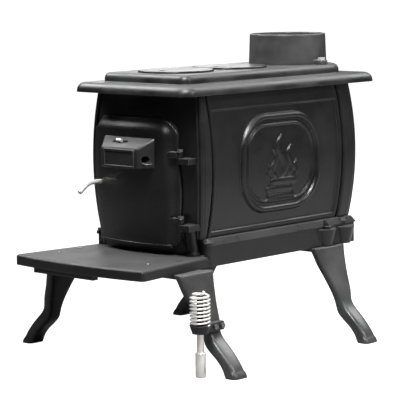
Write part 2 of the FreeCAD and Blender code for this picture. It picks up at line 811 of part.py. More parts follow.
def top_plate():
    block = box("cornice_block", ("-cornice_half_width", "cornice_half_width"),
                ("-cornice_front", "cornice_rear"), ("wall_top", "tier_foot"))
    block = rounded("cornice_corners", block, "cornice_corner", straight("z"))
    doc.recompute()
    low, high = value("wall_top"), value("tier_foot")
    cornice = rounded("cornice", block, "cornice_edge",
                      lambda edge: level_edges(low)(edge) or level_edges(high)(edge))
    raised = box("tier_block", ("-tier_half_width", "tier_half_width"), ("-tier_front", "tier_rear"),
                 ("wall_top + cornice_thickness / 2", "cook_top"))
    raised = rounded("tier_front_corners", raised, "tier_front_corner",
                     lambda edge: straight("z")(edge) and edge.BoundBox.YMax < 0)
    raised = rounded("tier_rear_corners", raised, "tier_rear_corner",
                     lambda edge: straight("z")(edge) and edge.BoundBox.YMin > value("tier_rear") - ALIKE)
    doc.recompute()
    top = value("cook_top")
    tier = rounded("tier", raised, "tier_edge", level_edges(top))
    holes = [rod("top_flue", "z", "flue_bore", ("0", "flue_place", "wall_foot"), "overall_length")]
    for name, place in (("front", "-front_lid_place"), ("rear", "rear_lid_place")):
        holes.append(rod("top_hole_" + name, "z", "lid_hole", ("0", place, "wall_foot"), "overall_length"))
        holes.append(rod("top_seat_" + name, "z", "lid_radius + lid_clearance",
                         ("0", place, "cook_top - lid_seat_depth"), "overrun"))
    for number, (x, y) in enumerate(rod_places()):
        holes.append(rod("top_rod_%d" % number, "z", "rod_radius + bolt_clearance",
                         (x, y, "wall_foot"), "wall_height + rod_depth + bolt_clearance"))
    for side in ("-", ""):
        holes.append(rod("top_ear%s" % ("_left" if side else ""), "z", "leg_bolt_radius + bolt_clearance",
                         (side + "ear_reach", "flue_place", "cook_top - cornice_thickness"), "overall_length"))
    return keep("top_plate", cut("top_final", fuse("top_solid", cornice, tier), *holes))


def lid(node, place):
    disc = rod(node + "_disc", "z", "lid_radius",
               ("0", place, "cook_top - lid_seat_depth + seat_gap"), "lid_seat_depth + lid_proud - seat_gap")
    doc.recompute()
    top = disc.Shape.BoundBox.ZMax
    disc = rounded(node + "_edged", disc, "lid_edge", level_edges(top))
    plug = rod(node + "_plug", "z", "lid_hole - 2 * lid_clearance",
               ("0", place, "cook_top - lid_seat_depth - lid_plug_depth"), "lid_seat_depth + lid_plug_depth")
    lifter = box(node + "_lifter", ("-lifter_width / 2", "lifter_width / 2"),
                 (place + " - lid_radius / 2 - lifter_length / 2", place + " - lid_radius / 2 + lifter_length / 2"),
                 ("cook_top + lid_proud - lifter_depth", "cook_top + overrun"))
    return keep(node, cut(node + "_final", fuse(node + "_solid", disc, plug), lifter))


def flue_collar():
    start = ("0", "flue_place", "cook_top")
    pipe = cone("collar_pipe", "collar_foot_radius", "collar_top_radius", start, "collar_height")
    doc.recompute()
    top = pipe.Shape.BoundBox.ZMax
    pipe = rounded("collar_rounded", pipe, "collar_lip", level_edges(top))
    parts = [pipe, box("collar_bridge", ("-ear_reach", "ear_reach"),
                       ("flue_place - ear_radius", "flue_place + ear_radius"),
                       ("cook_top", "cook_top + ear_thickness"))]
    holes = [rod("collar_bore", "z", "flue_bore", ("0", "flue_place", "wall_foot"), "overall_length")]
    for side in ("-", ""):
        tail = "_left" if side else ""
        parts.append(rod("collar_ear" + tail, "z", "ear_radius", (side + "ear_reach", "flue_place", "cook_top"),
                         "ear_thickness"))
        holes.append(rod("collar_hole" + tail, "z", "leg_bolt_radius + bolt_clearance",
                         (side + "ear_reach", "flue_place", "wall_foot"), "overall_length"))
    return keep("flue_collar", cut("collar_final", fuse("collar_solid", *parts), *holes))


def bolt(name, x, y, seat, grip):
    """A hexagon bolt that stands on a seat, with its shank below."""
    head = hexagon(name + "_head", "z", "leg_bolt_head", (x, y, seat), "leg_bolt_head_height")
    shank = rod(name + "_shank", "z", "leg_bolt_radius", (x, y, "%s - (%s)" % (seat, grip)), grip)
    return fuse(name, head, shank)


def bolts():
    sides = ("-", "")
    collar = [bolt("collar_bolt%d" % number, side + "ear_reach", "flue_place", "cook_top + ear_thickness",
                   "ear_thickness + cornice_thickness - seat_gap") for number, side in enumerate(sides)]
    keep("flue_collar_bolts", group("collar_bolts", *collar))
    legs = [bolt("leg_bolt%d" % number, side + "leg_bolt_place", "-front_leg_place", "hearth_top",
                 "hearth_thickness + leg_bolt_grip") for number, side in enumerate(sides)]
    legs += [bolt("rear_leg_bolt%d" % number, side + "rear_bolt_place", "rear_leg_place",
                  "skirt_top - lug_drop", "base_height - lug_drop + leg_bolt_grip")
             for number, side in enumerate(sides)]
    keep("leg_bolts", group("leg_bolt_set", *legs))
    corners = [bolt("corner_bolt%d" % number, x, y, "skirt_top + ledge_height / 2", "corner_bolt_depth - seat_gap")
               for number, (x, y) in enumerate(corner_places())]
    keep("corner_bolts", group("corner_bolt_set", *corners))
    small = [bolt("hearth_bolt%d" % number, side + "hearth_bolt_place", "-hearth_bolt_forward", "hearth_top",
                  "hearth_thickness + hearth_bolt_tail") for number, side in enumerate(sides)]
    keep("hearth_bolts", group("hearth_bolt_set", *small))


def tie_rods():
    foot = "wall_foot - floor_thickness"
    rods = []
    nuts = []
    for number, (x, y) in enumerate(rod_places()):
        rods.append(rod("tie_rod%d" % number, "z", "rod_radius", (x, y, foot + " - rod_nut_height - rod_tail"),
                        "floor_thickness + rod_nut_height + rod_tail + wall_height + rod_depth"))
        nut = hexagon("tie_nut_block%d" % number, "z", "rod_nut_radius", (x, y, foot + " - rod_nut_height"),
                      "rod_nut_height")
        hole = rod("tie_nut_hole%d" % number, "z", "rod_radius", (x, y, foot + " - overrun"), "2 * overrun")
        nuts.append(cut("tie_nut%d" % number, nut, hole))
    keep("tie_rods", group("tie_rod_set", *rods))
    keep("tie_rod_nuts", group("tie_nut_set", *nuts))


def door_strap(name, level):
    knuckle = rod(name + "_eye", "z", "knuckle_radius", ("hinge_place", "-hinge_forward", level), "knuckle_height")
    strap = box(name + "_strap", ("hinge_place - strap_length", "hinge_place"),
                ("-hinge_forward - knuckle_radius - strap_depth / 2", "-hinge_forward + knuckle_radius / 2"),
                (level, level + " + knuckle_height"))
    flare = front_shell(name + "_flare", "door_gap", "door_face + bead_proud")
    return fuse(name, knuckle, common(name + "_arm", strap, flare))


def door():
    flange = common("door_flange_plate", front_shell("door_flange_shell", "door_gap", "door_gap + door_flange"),
                    rounded_door("door_flange_outline", "0", "overrun", "2 * overrun"))
    raised = common("door_raised_plate", front_shell("door_raised_shell", "door_gap + relief_root", "door_face"),
                    rounded_door("door_raised_outline", "door_bevel", "overrun", "2 * overrun"))
    straps = [door_strap("door_strap_" + name, level)
              for name, level in (("upper", "hinge_upper"), ("lower", "hinge_lower"))]
    solid = fuse("door_solid", flange, raised, *straps)
    cuts = [rod("door_pin_" + name, "z", "hinge_pin_radius + hinge_pin_clearance",
                ("hinge_place", "-hinge_forward", level + " - knuckle_height"), "3 * knuckle_height")
            for name, level in (("upper", "hinge_upper"), ("lower", "hinge_lower"))]
    cuts.append(rod("door_spindle", "y", "latch_radius + latch_clearance",
                    ("-latch_place", "-latch_forward - overrun", "latch_level"), "2 * overrun + latch_radius * 8"))
    for number, side in enumerate(("-", "")):
        place = "-draft_centre " + (side or "+") + " air_hole_radius * 2"
        cuts.append(rod("door_air%d" % number, "y", "air_hole_radius",
                        (place, "-draft_front", "draft_foot + draft_face_height / 2"), "4 * overrun"))
    keep("door", cut("door_final", solid, *cuts))
    outside = rounded_door("gasket_outside", "gasket_inset", "overrun", "2 * overrun")
    inside = rounded_door("gasket_inside", "gasket_inset + gasket_width", "2 * overrun", "3 * overrun")
    ring = cut("gasket_ring", outside, inside)
    keep("door_gasket", common("gasket_final", front_shell("gasket_shell", "seat_gap", "door_gap"), ring))
    for name, level in (("upper", "hinge_upper"), ("lower", "hinge_lower")):
        start = ("hinge_place", "-hinge_forward", level + " - knuckle_height")
        pin = rod(name + "_pin_shank", "z", "hinge_pin_radius", start, "2 * knuckle_height + seat_gap")
        head = rod(name + "_pin_head", "z", "hinge_head_radius",
                   ("hinge_place", "-hinge_forward", level + " + knuckle_height + seat_gap"), "hinge_head_height")
        keep(name + "_hinge_pin", fuse(name + "_pin", pin, head))


def hood(name, shrink, back):
    """The draft box's tapered block, with every wall drawn in by a formula."""
    item = doc.addObject("Part::Wedge", name)
    bind(item, Xmin="-draft_centre - draft_face_width / 2 + (%s)" % shrink,
         Xmax="-draft_centre + draft_face_width / 2 - (%s)" % shrink,
         X2min="-draft_centre - draft_width / 2 + (%s)" % shrink,
         X2max="-draft_centre + draft_width / 2 - (%s)" % shrink,
         Zmin="draft_foot + (%s)" % shrink, Zmax="draft_face_top - (%s)" % shrink,
         Z2min="draft_foot + (%s)" % shrink, Z2max="draft_top - (%s)" % shrink,
         Ymin="-draft_front + (%s)" % shrink, Ymax=back)
    return item


def draft_box():
    outside = hood("hood_outside", "0", "-draft_back + door_face")
    inside = hood("hood_inside", "draft_wall", "-draft_back + 2 * door_face")
    frame_x = ("-draft_centre - draft_frame_width / 2", "-draft_centre + draft_frame_width / 2")
    frame_z = ("draft_foot + (draft_face_height - draft_frame_height) / 2",
               "draft_foot + (draft_face_height + draft_frame_height) / 2")
    frame = box("hood_frame", frame_x, ("-draft_front - draft_frame_proud", "-draft_front + draft_wall / 2"), frame_z)
    plate = box("hood_plate", (frame_x[0] + " + draft_frame_band", frame_x[1] + " - draft_frame_band"),
                ("-draft_front - overrun", "-draft_front"),
                (frame_z[0] + " + draft_frame_band", frame_z[1] + " - draft_frame_band"))
    slot = box("hood_slot", ("-draft_centre - tab_offset - tab_width / 2 - slide_travel - slide_clearance",
                             "-draft_centre - tab_offset + tab_width / 2 + slide_travel + slide_clearance"),
               ("-slide_front - slide_clearance", "-slide_front + slide_thickness + slide_clearance"),
               ("draft_face_top - draft_wall", "draft_top + overrun"))
    port = rod("hood_port", "x", "port_radius",
               ("-draft_centre", "-draft_front + draft_reach / 2 + draft_wall / 2",
                "draft_foot + draft_wall + 2 * port_radius"), "draft_width")
    behind = front_shell("hood_behind", "-overrun", "door_face")
    solid = fuse("hood_solid", cut("hood_shell", outside, inside), cut("hood_bezel", frame, plate))
    keep("draft_box", cut("hood_final", solid, behind, slot, port))
    level = "slide_foot + slide_height"
    plate = box("slide_plate", ("-draft_centre - slide_width / 2", "-draft_centre + slide_width / 2"),
                ("-slide_front", "-slide_front + slide_thickness"), ("slide_foot", level))
    tab = box("slide_tab", ("-draft_centre - tab_offset - tab_width / 2", "-draft_centre - tab_offset + tab_width / 2"),
              ("-slide_front", "-slide_front + slide_thickness"), ("slide_foot", level + " + tab_height"))
    keep("draft_slide", fuse("slide_final", plate, tab))


def latch():
    x, z = "-latch_place", "latch_level"
    spindle = rod("latch_spindle", "y", "latch_radius", (x, "-latch_forward", z),
                  "latch_forward - tongue_back + latch_nut_height + seat_gap")
    elbow = ball("latch_elbow", "latch_radius", (x, "-latch_forward", z))
    slope = math.degrees(math.atan2(value("lever_forward"), value("lever_drop")))
    arm = doc.addObject("Part::Cylinder", "latch_arm")
    arm.Placement = FreeCAD.Placement(FreeCAD.Vector(), FreeCAD.Rotation(FreeCAD.Vector(1, 0, 0), 180 - slope))
    bind(arm, Radius="latch_radius", Height="sqrt(lever_forward ^ 2 + lever_drop ^ 2)")
    put(arm, x, "-latch_forward", z)
    tip = ball("latch_tip", "latch_radius", (x, "-latch_forward - lever_forward", z + " - lever_drop"))
    keep("latch_lever", fuse("latch_lever_final", spindle, elbow, arm, tip))
    back = ("-tongue_back - tongue_thickness", "-tongue_back")
    bar = box("tongue_bar", (x + " - tongue_width / 2", x + " + tongue_width / 2"), back,
              (z + " - tongue_length", z))
    eye = rod("tongue_eye", "y", "tongue_width / 2 + latch_radius / 2", (x, back[0], z), "tongue_thickness")
    hole = rod("tongue_hole", "y", "latch_radius", (x, back[0] + " - overrun", z), "3 * overrun")
    keep("latch_tongue", cut("tongue_final", fuse("tongue_solid", bar, eye), hole))
    nut = hexagon("latch_nut_block", "y", "latch_nut_radius", (x, "-tongue_back", z), "latch_nut_height")
    hole = rod("latch_nut_hole", "y", "latch_radius", (x, "-tongue_back - overrun", z), "3 * overrun")
    keep("latch_nut", cut("latch_nut_final", nut, hole))


def log_grate():
    z = ("wall_foot + grate_foot", "wall_foot + grate_foot + grate_bar")
    near, far = "grate_front", "grate_rear"
    parts = []
    for side in ("-", ""):
        tail = "_left" if side else ""
        low = "-grate_width / 2" if side else "grate_width / 2 - grate_bar"
        parts.append(box("grate_rail" + tail, (low, low + " + grate_bar"), (near, far), z))
        for number, y in enumerate((near, far + " - grate_bar")):
            parts.append(box("grate_leg%s_%d" % (tail, number), (low, low + " + grate_bar"), (y, y + " + grate_bar"),
                             ("wall_foot", z[1])))
    pitch = value("grate_bar") + value("grate_gap")
    count = int((value("grate_rear") - value("grate_front") - value("grate_bar")) // pitch)
    for number in range(count + 1):
        start = "%s + (%s - (%s) - grate_bar) * %d / %d" % (near, far, near, number, count)
        parts.append(box("grate_bar_%d" % number, ("-grate_width / 2", "grate_width / 2"),
                         (start, start + " + grate_bar"), z))
    keep("log_grate", fuse("grate_final", *parts))


def leg_section(level, low, high, middle, width, corner):
    """A rounded rectangle at one height."""
    left, right = middle - width / 2, middle + width / 2
    bend = corner * math.sqrt(0.5)
    corners = [(high - corner, left + corner, 1, -1), (high - corner, right - corner, 1, 1),
               (low + corner, right - corner, -1, 1), (low + corner, left + corner, -1, -1)]
    edges = []
    ends = []
    for x, y, east, north in corners:
        first = (x, y + north * corner) if east * north < 0 else (x + east * corner, y)
        last = (x + east * corner, y) if east * north < 0 else (x, y + north * corner)
        points = [FreeCAD.Vector(*point, level) for point in (first, (x + east * bend, y + north * bend), last)]
        edges.append(Part.Arc(*points).toShape())
        ends.append((points[0], points[2]))
    sides = [Part.makeLine(ends[number][1], ends[(number + 1) % 4][0]) for number in range(4)]
    return Part.Wire([edge for pair in zip(edges, sides) for edge in pair])


def leg_shape(side, shoulder, middle):
    sections = []
    for height, reach, depth, width in LEG_SHARES:
        outer = shoulder + value("leg_reach") * reach
        deep = value("leg_depth") * depth
        wide = value("leg_width") * width
        low, high = (outer - deep, outer) if side > 0 else (-outer, deep - outer)
        corner = LEG_ROUND_SHARE * min(deep, wide)
        sections.append(leg_section(value("leg_height") * height, low, high, middle, wide, corner))
    blade = Part.makeLoft(sections, True, False)
    broad = value("leg_flange_width")
    inner = shoulder - value("leg_depth") if side > 0 else -shoulder
    corner = FreeCAD.Vector(inner, middle - broad / 2, value("leg_height") - value("leg_flange"))
    return blade.fuse(Part.makeBox(value("leg_depth"), broad, value("leg_flange"), corner)).removeSplitter()


def legs():
    doc.recompute()
    rear_shoulder = value("front_leg_shoulder") - value("rear_leg_inset")
    spots = {
        "front_left_leg": (-1, value("front_leg_shoulder"), -value("front_leg_place"), value("leg_bolt_place")),
        "front_right_leg": (1, value("front_leg_shoulder"), -value("front_leg_place"), value("leg_bolt_place")),
        "rear_left_leg": (-1, rear_shoulder, value("rear_leg_place"), value("rear_bolt_place")),
        "rear_right_leg": (1, rear_shoulder, value("rear_leg_place"), value("rear_bolt_place")),
    }
    depth = value("leg_bolt_grip") + value("seat_gap")
    radius = value("leg_bolt_radius") + value("bolt_clearance")
    for node, (side, shoulder, middle, bolt_place) in spots.items():
        shape = leg_shape(side, shoulder, middle)
        foot = FreeCAD.Vector(side * bolt_place, middle, value("leg_height") - depth)
        shape = shape.cut(Part.makeCylinder(radius, depth + value("overrun"), foot))
        item = doc.addObject("Part::Feature", node + "_cast")
        item.Shape = shape
        item.Placement = FreeCAD.Placement()
        keep(node, item)


def holder_bolt_places():
    rear = "-front_leg_place + holder_bolt_gap / 2 + %s"
    return [rear % step for step in ("0", "-holder_bolt_gap")]


def handle_holder():
    z = ("holder_foot", "holder_top")
    ring = cone("holder_ring", "holder_foot_radius", "holder_radius",
                ("handle_place", "-handle_forward", z[0]), "holder_height")
    outer = "handle_place + holder_strap_proud"
    strap = box("holder_strap_bar", ("handle_place - holder_strap_depth", outer),
                ("-handle_forward", "-handle_forward + holder_strap_length"), z)
    solid = fuse("holder_solid", ring, strap)
    bore = rod("holder_bore_hole", "z", "holder_bore", ("handle_place", "-handle_forward", "0"), "overall_length")
    holes = [rod("holder_hole%d" % number, "x", "leg_bolt_radius + bolt_clearance", ("0", y, middle_of_holder()),
                 "overall_length") for number, y in enumerate(holder_bolt_places())]
    keep("handle_holder", cut("holder_final", solid, bore, nodes["front_right_leg"], *holes))
    made = []
    for number, y in enumerate(holder_bolt_places()):
        head = hexagon("holder_bolt_head%d" % number, "x", "holder_bolt_head",
                       (outer, y, middle_of_holder()), "holder_bolt_head_height")
        shank = rod("holder_bolt_shank%d" % number, "x", "leg_bolt_radius",
                    ("handle_place - holder_strap_depth", y, middle_of_holder()),
                    "holder_strap_depth + holder_strap_proud")
        made.append(fuse("holder_bolt%d" % number, head, shank))
    keep("holder_bolts", group("holder_bolt_set", *made))
    doc.recompute()
    leg = nodes["front_right_leg"]
    shape = leg.Shape
    for number, y in enumerate(holder_bolt_places()):
        tool = doc.getObject("holder_bolt_shank%d" % number).Shape.BoundBox
        start = FreeCAD.Vector(tool.XMin - value("seat_gap"), tool.Center.y, tool.Center.z)
        radius = value("leg_bolt_radius") + value("bolt_clearance")
        shape = shape.cut(Part.makeCylinder(radius, value("overrun"), start, FreeCAD.Vector(1, 0, 0)))
    leg.Shape = shape


def middle_of_holder():
    return "holder_foot + holder_height / 2"


def handle_shank():
    x, y = "handle_place", "-handle_forward"
    bar = rod("shank_bar", "z", "shank_radius", (x, y, "socket_top"), "shank_top - socket_top")
    socket = cone("shank_socket", "socket_radius - draft_wall / 4", "socket_radius", (x, y, "socket_foot"),
                  "socket_top - socket_foot")
    flange = rod("shank_flange", "z", "handle_flange", (x, y, "flange_foot"), "handle_flange_height")
    cap = rod("shank_cap_disc", "z", "cap_radius", (x, y, "shank_cap"), "cap_height")
    keep("handle_shank", fuse("shank_final", bar, socket, flange, cap))


def arc_between(start, heading, end):
    """One circular arc from a point and its heading to an end point."""
    chord = end - start
    along = FreeCAD.Vector(chord).normalize()
    across = heading - along * heading.dot(along)
    if across.Length < 1e-9:
        return Part.LineSegment(start, end), None
    turn = math.atan2(across.Length, heading.dot(along))
    across.normalize()
    middle = start + chord / 2 + across * (chord.Length / 2 * math.tan(turn / 2))
    return Part.Arc(start, middle, end), chord.Length / (2 * math.sin(turn))


def biarc(start, heading, end, leaving):
    """Two arcs that join two points smoothly along their headings, with their radii."""
    reach = end - start
    total = heading + leaving
    spare = 2 * (1 - heading.dot(leaving))
    pull = reach.dot(total)
    if spare < 1e-9:
        length = reach.dot(reach) / (4 * reach.dot(leaving))
    else:
        length = (-pull + math.sqrt(pull * pull + spare * reach.dot(reach))) / spare
    knot = (start + heading * length + end - leaving * length) / 2
    first, near = arc_between(start, heading, knot)
    back, far = arc_between(end, leaving * -1, knot)
    last = Part.Arc(knot, back.value((back.FirstParameter + back.LastParameter) / 2), end)
    return [first, last], [radius for radius in (near, far) if radius]


def coil_point(turns):
    """A point on the coil's centre line and its heading, so many turns from the foot."""
    full, taper = value("coil_turns"), value("coil_taper_turns")
    run = value("shank_cap") - value("coil_foot") - 12 * value("wire_radius")
    narrow = max(0.0, turns - (full - taper)) / taper
    ease = narrow * narrow
    radius = value("coil_radius") + (value("coil_neck") - value("coil_radius")) * ease
    angle = 2 * math.pi * turns
    centre = FreeCAD.Vector(value("handle_place"), -value("handle_forward"), 0)
    height = value("coil_foot") + 6 * value("wire_radius") + run * turns / full
    return centre + FreeCAD.Vector(radius * math.cos(angle), radius * math.sin(angle), height)


def coil_heading(turns):
    step = 1e-4
    low = coil_point(max(0.0, turns - step))
    high = coil_point(min(value("coil_turns"), turns + step))
    return (high - low).normalize()


def handle_coil():
    """The wound grip as one tube, with a short straight run at each end, square to the flange and the cap."""
    wire = value("wire_radius")
    up = FreeCAD.Vector(0, 0, 1)
    count = int(4 * value("coil_turns"))
    first, heading = coil_point(0), coil_heading(0)
    last, leaving = coil_point(value("coil_turns")), coil_heading(value("coil_turns"))
    lead_in = first - heading * (4 * wire)
    lead_in.z = value("coil_foot") + 2 * wire
    lead_out = last + leaving * (4 * wire)
    lead_out.z = value("shank_cap") - 2 * wire
    foot = FreeCAD.Vector(lead_in.x, lead_in.y, value("coil_foot"))
    head = FreeCAD.Vector(lead_out.x, lead_out.y, value("shank_cap"))
    curves = [Part.LineSegment(foot, lead_in)]
    radii = []
    stops = [(lead_in, up)]
    stops += [(coil_point(number / 4), coil_heading(number / 4)) for number in range(count + 1)]
    stops.append((lead_out, up))
    for (start, going), (end, coming) in zip(stops, stops[1:]):
        arcs, found = biarc(start, going, end, coming)
        curves += arcs
        radii += found
    curves.append(Part.LineSegment(lead_out, head))
    path = Part.Wire([curve.toShape() for curve in curves])
    ring = Part.Wire(Part.Circle(foot, up, wire).toShape())
    tube = path.makePipeShell([ring], True, False)
    item = doc.addObject("Part::Feature", "coil_wire")
    item.Shape = tube
    item.Placement = FreeCAD.Placement()
    print("coil: least radius %.2f mm, wire radius %.2f mm" % (min(radii), wire))
    print("coil: volume %.0f of %.0f mm3" % (tube.Volume, math.pi * wire * wire * path.Length))
    print("coil: least gap to itself %.2f mm" % coil_gap(path, wire))
    return keep("handle_coil", item)


def coil_gap(path, wire):
    """Least clear distance between lengths of the tube that are not neighbours along it."""
    points = path.discretize(Distance=wire)
    apart = int(6 * math.pi)
    gaps = [(one - other).Length for number, one in enumerate(points) for other in points[number + apart:]]
    return min(gaps) - 2 * wire


def build():
    fill_sheet()
    base_plate()
    hearth_plate()
    side_panels()
    front_panel()
    back_panel()
    top_plate()
    lid("front_lid", "-front_lid_place")
    lid("rear_lid", "rear_lid_place")
    flue_collar()
    bolts()
    tie_rods()
    door()
    draft_box()
    latch()
    log_grate()
    legs()
    handle_holder()
    handle_shank()
    handle_coil()
    doc.recompute()


def check():
    for item in doc.Objects:
        if "Invalid" in item.State or "Error" in item.State:
            raise RuntimeError("failed object: %s %s" % (item.Name, item.State))
    for node, item in nodes.items():
        shape = item.Shape
        if shape.isNull() or not shape.isValid() or not shape.Solids:
            raise RuntimeError("bad shape: " + node)
        print("%-18s %d solids, %.1f cm3" % (node, len(shape.Solids), shape.Volume / 1000))


def write():
    os.makedirs("parts", exist_ok=True)
    for node, item in nodes.items():
        item.Shape.exportStep("parts/%s.step" % node)


build()
check()
write()
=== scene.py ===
import bpy
import json
import math
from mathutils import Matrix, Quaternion, Vector


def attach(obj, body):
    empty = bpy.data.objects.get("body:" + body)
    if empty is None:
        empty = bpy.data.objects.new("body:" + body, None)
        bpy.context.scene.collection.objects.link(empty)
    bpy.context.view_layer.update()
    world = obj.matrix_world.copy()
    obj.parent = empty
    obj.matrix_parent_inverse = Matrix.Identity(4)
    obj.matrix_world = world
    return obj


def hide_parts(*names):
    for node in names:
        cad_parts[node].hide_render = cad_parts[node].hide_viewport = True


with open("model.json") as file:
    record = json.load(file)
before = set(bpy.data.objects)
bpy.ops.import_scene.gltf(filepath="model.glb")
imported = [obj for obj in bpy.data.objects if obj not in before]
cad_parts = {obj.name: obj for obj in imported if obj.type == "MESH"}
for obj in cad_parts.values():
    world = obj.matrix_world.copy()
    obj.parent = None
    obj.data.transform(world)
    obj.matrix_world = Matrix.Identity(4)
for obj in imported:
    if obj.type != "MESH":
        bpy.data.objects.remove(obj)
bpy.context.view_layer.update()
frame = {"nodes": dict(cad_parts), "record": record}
print("frame loaded:", len(frame["nodes"]), "nodes")


# finishes

class Sock:  # a shader socket that takes part in Python sums
    def __init__(self, tree, out):
        self.tree, self.out = tree, out

    def plug(self, slot, value):
        if isinstance(value, Sock):
            self.tree.links.new(value.out, slot)
        else:
            slot.default_value = value

    def add(self, kind, settings=None, output=0, **sockets):  # a node: its settings, then its sockets
        node = self.tree.nodes.new("ShaderNode" + kind)
        for name, value in (settings or {}).items():
            setattr(node, name, value)
        for name, value in sockets.items():
            key = int(name[1:]) if name[1:].isdigit() else name.replace("_", " ")
            self.plug(node.inputs[key], value)
        return Sock(self.tree, node.outputs[output])

    def sum(self, how, first, second):
        return self.add("Math", {"operation": how}, i0=first, i1=second)

    def __add__(self, other): return self.sum("ADD", self, other)
    def __radd__(self, other): return self.sum("ADD", other, self)
    def __sub__(self, other): return self.sum("SUBTRACT", self, other)
    def __rsub__(self, other): return self.sum("SUBTRACT", other, self)
    def __mul__(self, other): return self.sum("MULTIPLY", self, other)
    def __rmul__(self, other): return self.sum("MULTIPLY", other, self)

    def clamp(self, low, high):  # 0 below low, 1 above high, smooth between
        smooth = {"interpolation_type": "SMOOTHSTEP"}
        return self.add("MapRange", smooth, Value=self, From_Min=low, From_Max=high)

    def tint(self, low, high):  # a colour between two others
        return self.add("Mix", {"data_type": "RGBA"}, output=2, i0=self, i6=low, i7=high)


def newFinish(name):
    material = bpy.data.materials.new(name)
    material.use_nodes = True
    tree = material.node_tree
    shader = tree.nodes["Principled BSDF"]
    place = Sock(tree, tree.nodes.new("ShaderNodeTexCoord").outputs["Object"])
    return material, shader, place


# iron finish: up-facing faces take a lighter tone, partly dust and partly a painted top light
ironLook = {
    "dark": (0.0035, 0.0035, 0.0037, 1), "light": (0.0075, 0.0075, 0.0078, 1),
    # edges take a lighter tone, partly wear and partly a painted edge highlight
    "worn": (0.085, 0.085, 0.086, 1), "dusty": (0.055, 0.055, 0.056, 1),
    "leastRoughness": 0.23, "patchRoughness": 0.12, "grainRoughness": 0.10,
    "wornShine": 0.10, "flatRoughness": 0.03,
    "grainSize": 800, "grainDepth": 0.00010, "sandShare": 0.45, "sandHeight": 0.7, "cloudSize": 11.0,
    "edgeRadius": 0.0022, "edgeRange": (0.02, 0.22), "patchRange": (0.35, 0.68), "levelRange": (0.6, 0.95),
    "dust": (0.55, 0.6), "wear": (0.35, 0.5),  # least amount, and how much the clouds add
}
# painted top light: a lighter copy of the iron for the top plate, standing for the light that falls on the
# cooktop
litTopLook = {**ironLook, "edgeRadius": 0.0020, "light": (0.024, 0.024, 0.0245, 1), "leastRoughness": 0.32}
# the hearth and the hood take a darker up-facing tone: less dust and less of the painted top light
hearthLook = {**ironLook, "leastRoughness": 0.36, "flatRoughness": 0.10, "dusty": (0.045, 0.045, 0.046, 1),
              # the wider edge band rounds the hearth's edges in shading and widens its painted edge highlight
              "edgeRadius": 0.0065}
hoodLook = {**ironLook, "leastRoughness": 0.38, "dusty": (0.012, 0.012, 0.0122, 1)}
# painted light: a lighter copy of the iron for the right-hand legs and the flue collar, standing for the
# light that falls on them
litSideLook = {**ironLook, "edgeRadius": 0.0045,
           "dark": (0.032, 0.032, 0.0325, 1), "light": (0.060, 0.060, 0.0605, 1),
           "worn": (0.16, 0.16, 0.161, 1), "dusty": (0.11, 0.11, 0.111, 1)}


def castIron(name, look):
    material, shader, place = newFinish(name)
    grain = place.add("TexNoise", Vector=place, Scale=look["grainSize"], Detail=2.0, Roughness=0.55)
    sandSize = look["grainSize"] * look["sandShare"]
    sand = place.add("TexVoronoi", {"feature": "SMOOTH_F1"}, Vector=place, Scale=sandSize)
    cloud = place.add("TexNoise", Vector=place, Scale=look["cloudSize"], Detail=4.0, Roughness=0.6)
    soft = place.add("Bevel", {"samples": 4}, Radius=look["edgeRadius"])
    flat = place.add("NewGeometry", output=1)
    facing = place.add("VectorMath", {"operation": "DOT_PRODUCT"}, output=1, i0=soft, i1=flat)
    edge = (1 - facing).clamp(*look["edgeRange"])
    patch = cloud.clamp(*look["patchRange"])
    level = place.add("SeparateXYZ", output=2, Vector=flat).clamp(*look["levelRange"])
    # up-facing faces are lightened: partly dust, partly a painted top light
    dust = level * (look["dust"][0] + look["dust"][1] * cloud)
    # edges are lightened: partly wear, partly a painted edge highlight
    wear = edge * (look["wear"][0] + look["wear"][1] * cloud)
    body = dust.tint(patch.tint(look["dark"], look["light"]), look["dusty"])
    shader.inputs["Base Color"].default_value = look["dark"]
    place.plug(shader.inputs["Base Color"], wear.tint(body, look["worn"]))
    rough = look["leastRoughness"] + look["patchRoughness"] * patch + look["grainRoughness"] * grain
    place.plug(shader.inputs["Roughness"], rough - look["wornShine"] * wear + look["flatRoughness"] * level)
    height = grain + look["sandHeight"] * sand
    bump = place.add("Bump", Strength=1.0, Distance=look["grainDepth"], Height=height, Normal=soft)
    place.plug(shader.inputs["Normal"], bump)
    return material


nickelLook = {
    "clean": (0.93, 0.91, 0.88, 1), "hazy": (0.80, 0.78, 0.74, 1), "metal": 0.55,
    "roughness": 0.16, "hazeRoughness": 0.12, "hazeSize": 60.0,
    "lineSize": 900.0, "lineStrength": 0.4, "lineDepth": 0.00005,
}
# painted shade: the shank is dark along the height the grip covers, standing for the shadow inside the coil
shankLook = {**nickelLook, "core": (0.02, 0.02, 0.02, 1),
             "coreFrom": 0.0975, "coreTo": 0.1660, "coreFade": 0.0005}
latchLook = {**nickelLook, "clean": (0.82, 0.81, 0.79, 1), "hazy": (0.68, 0.67, 0.65, 1), "metal": 0.35}


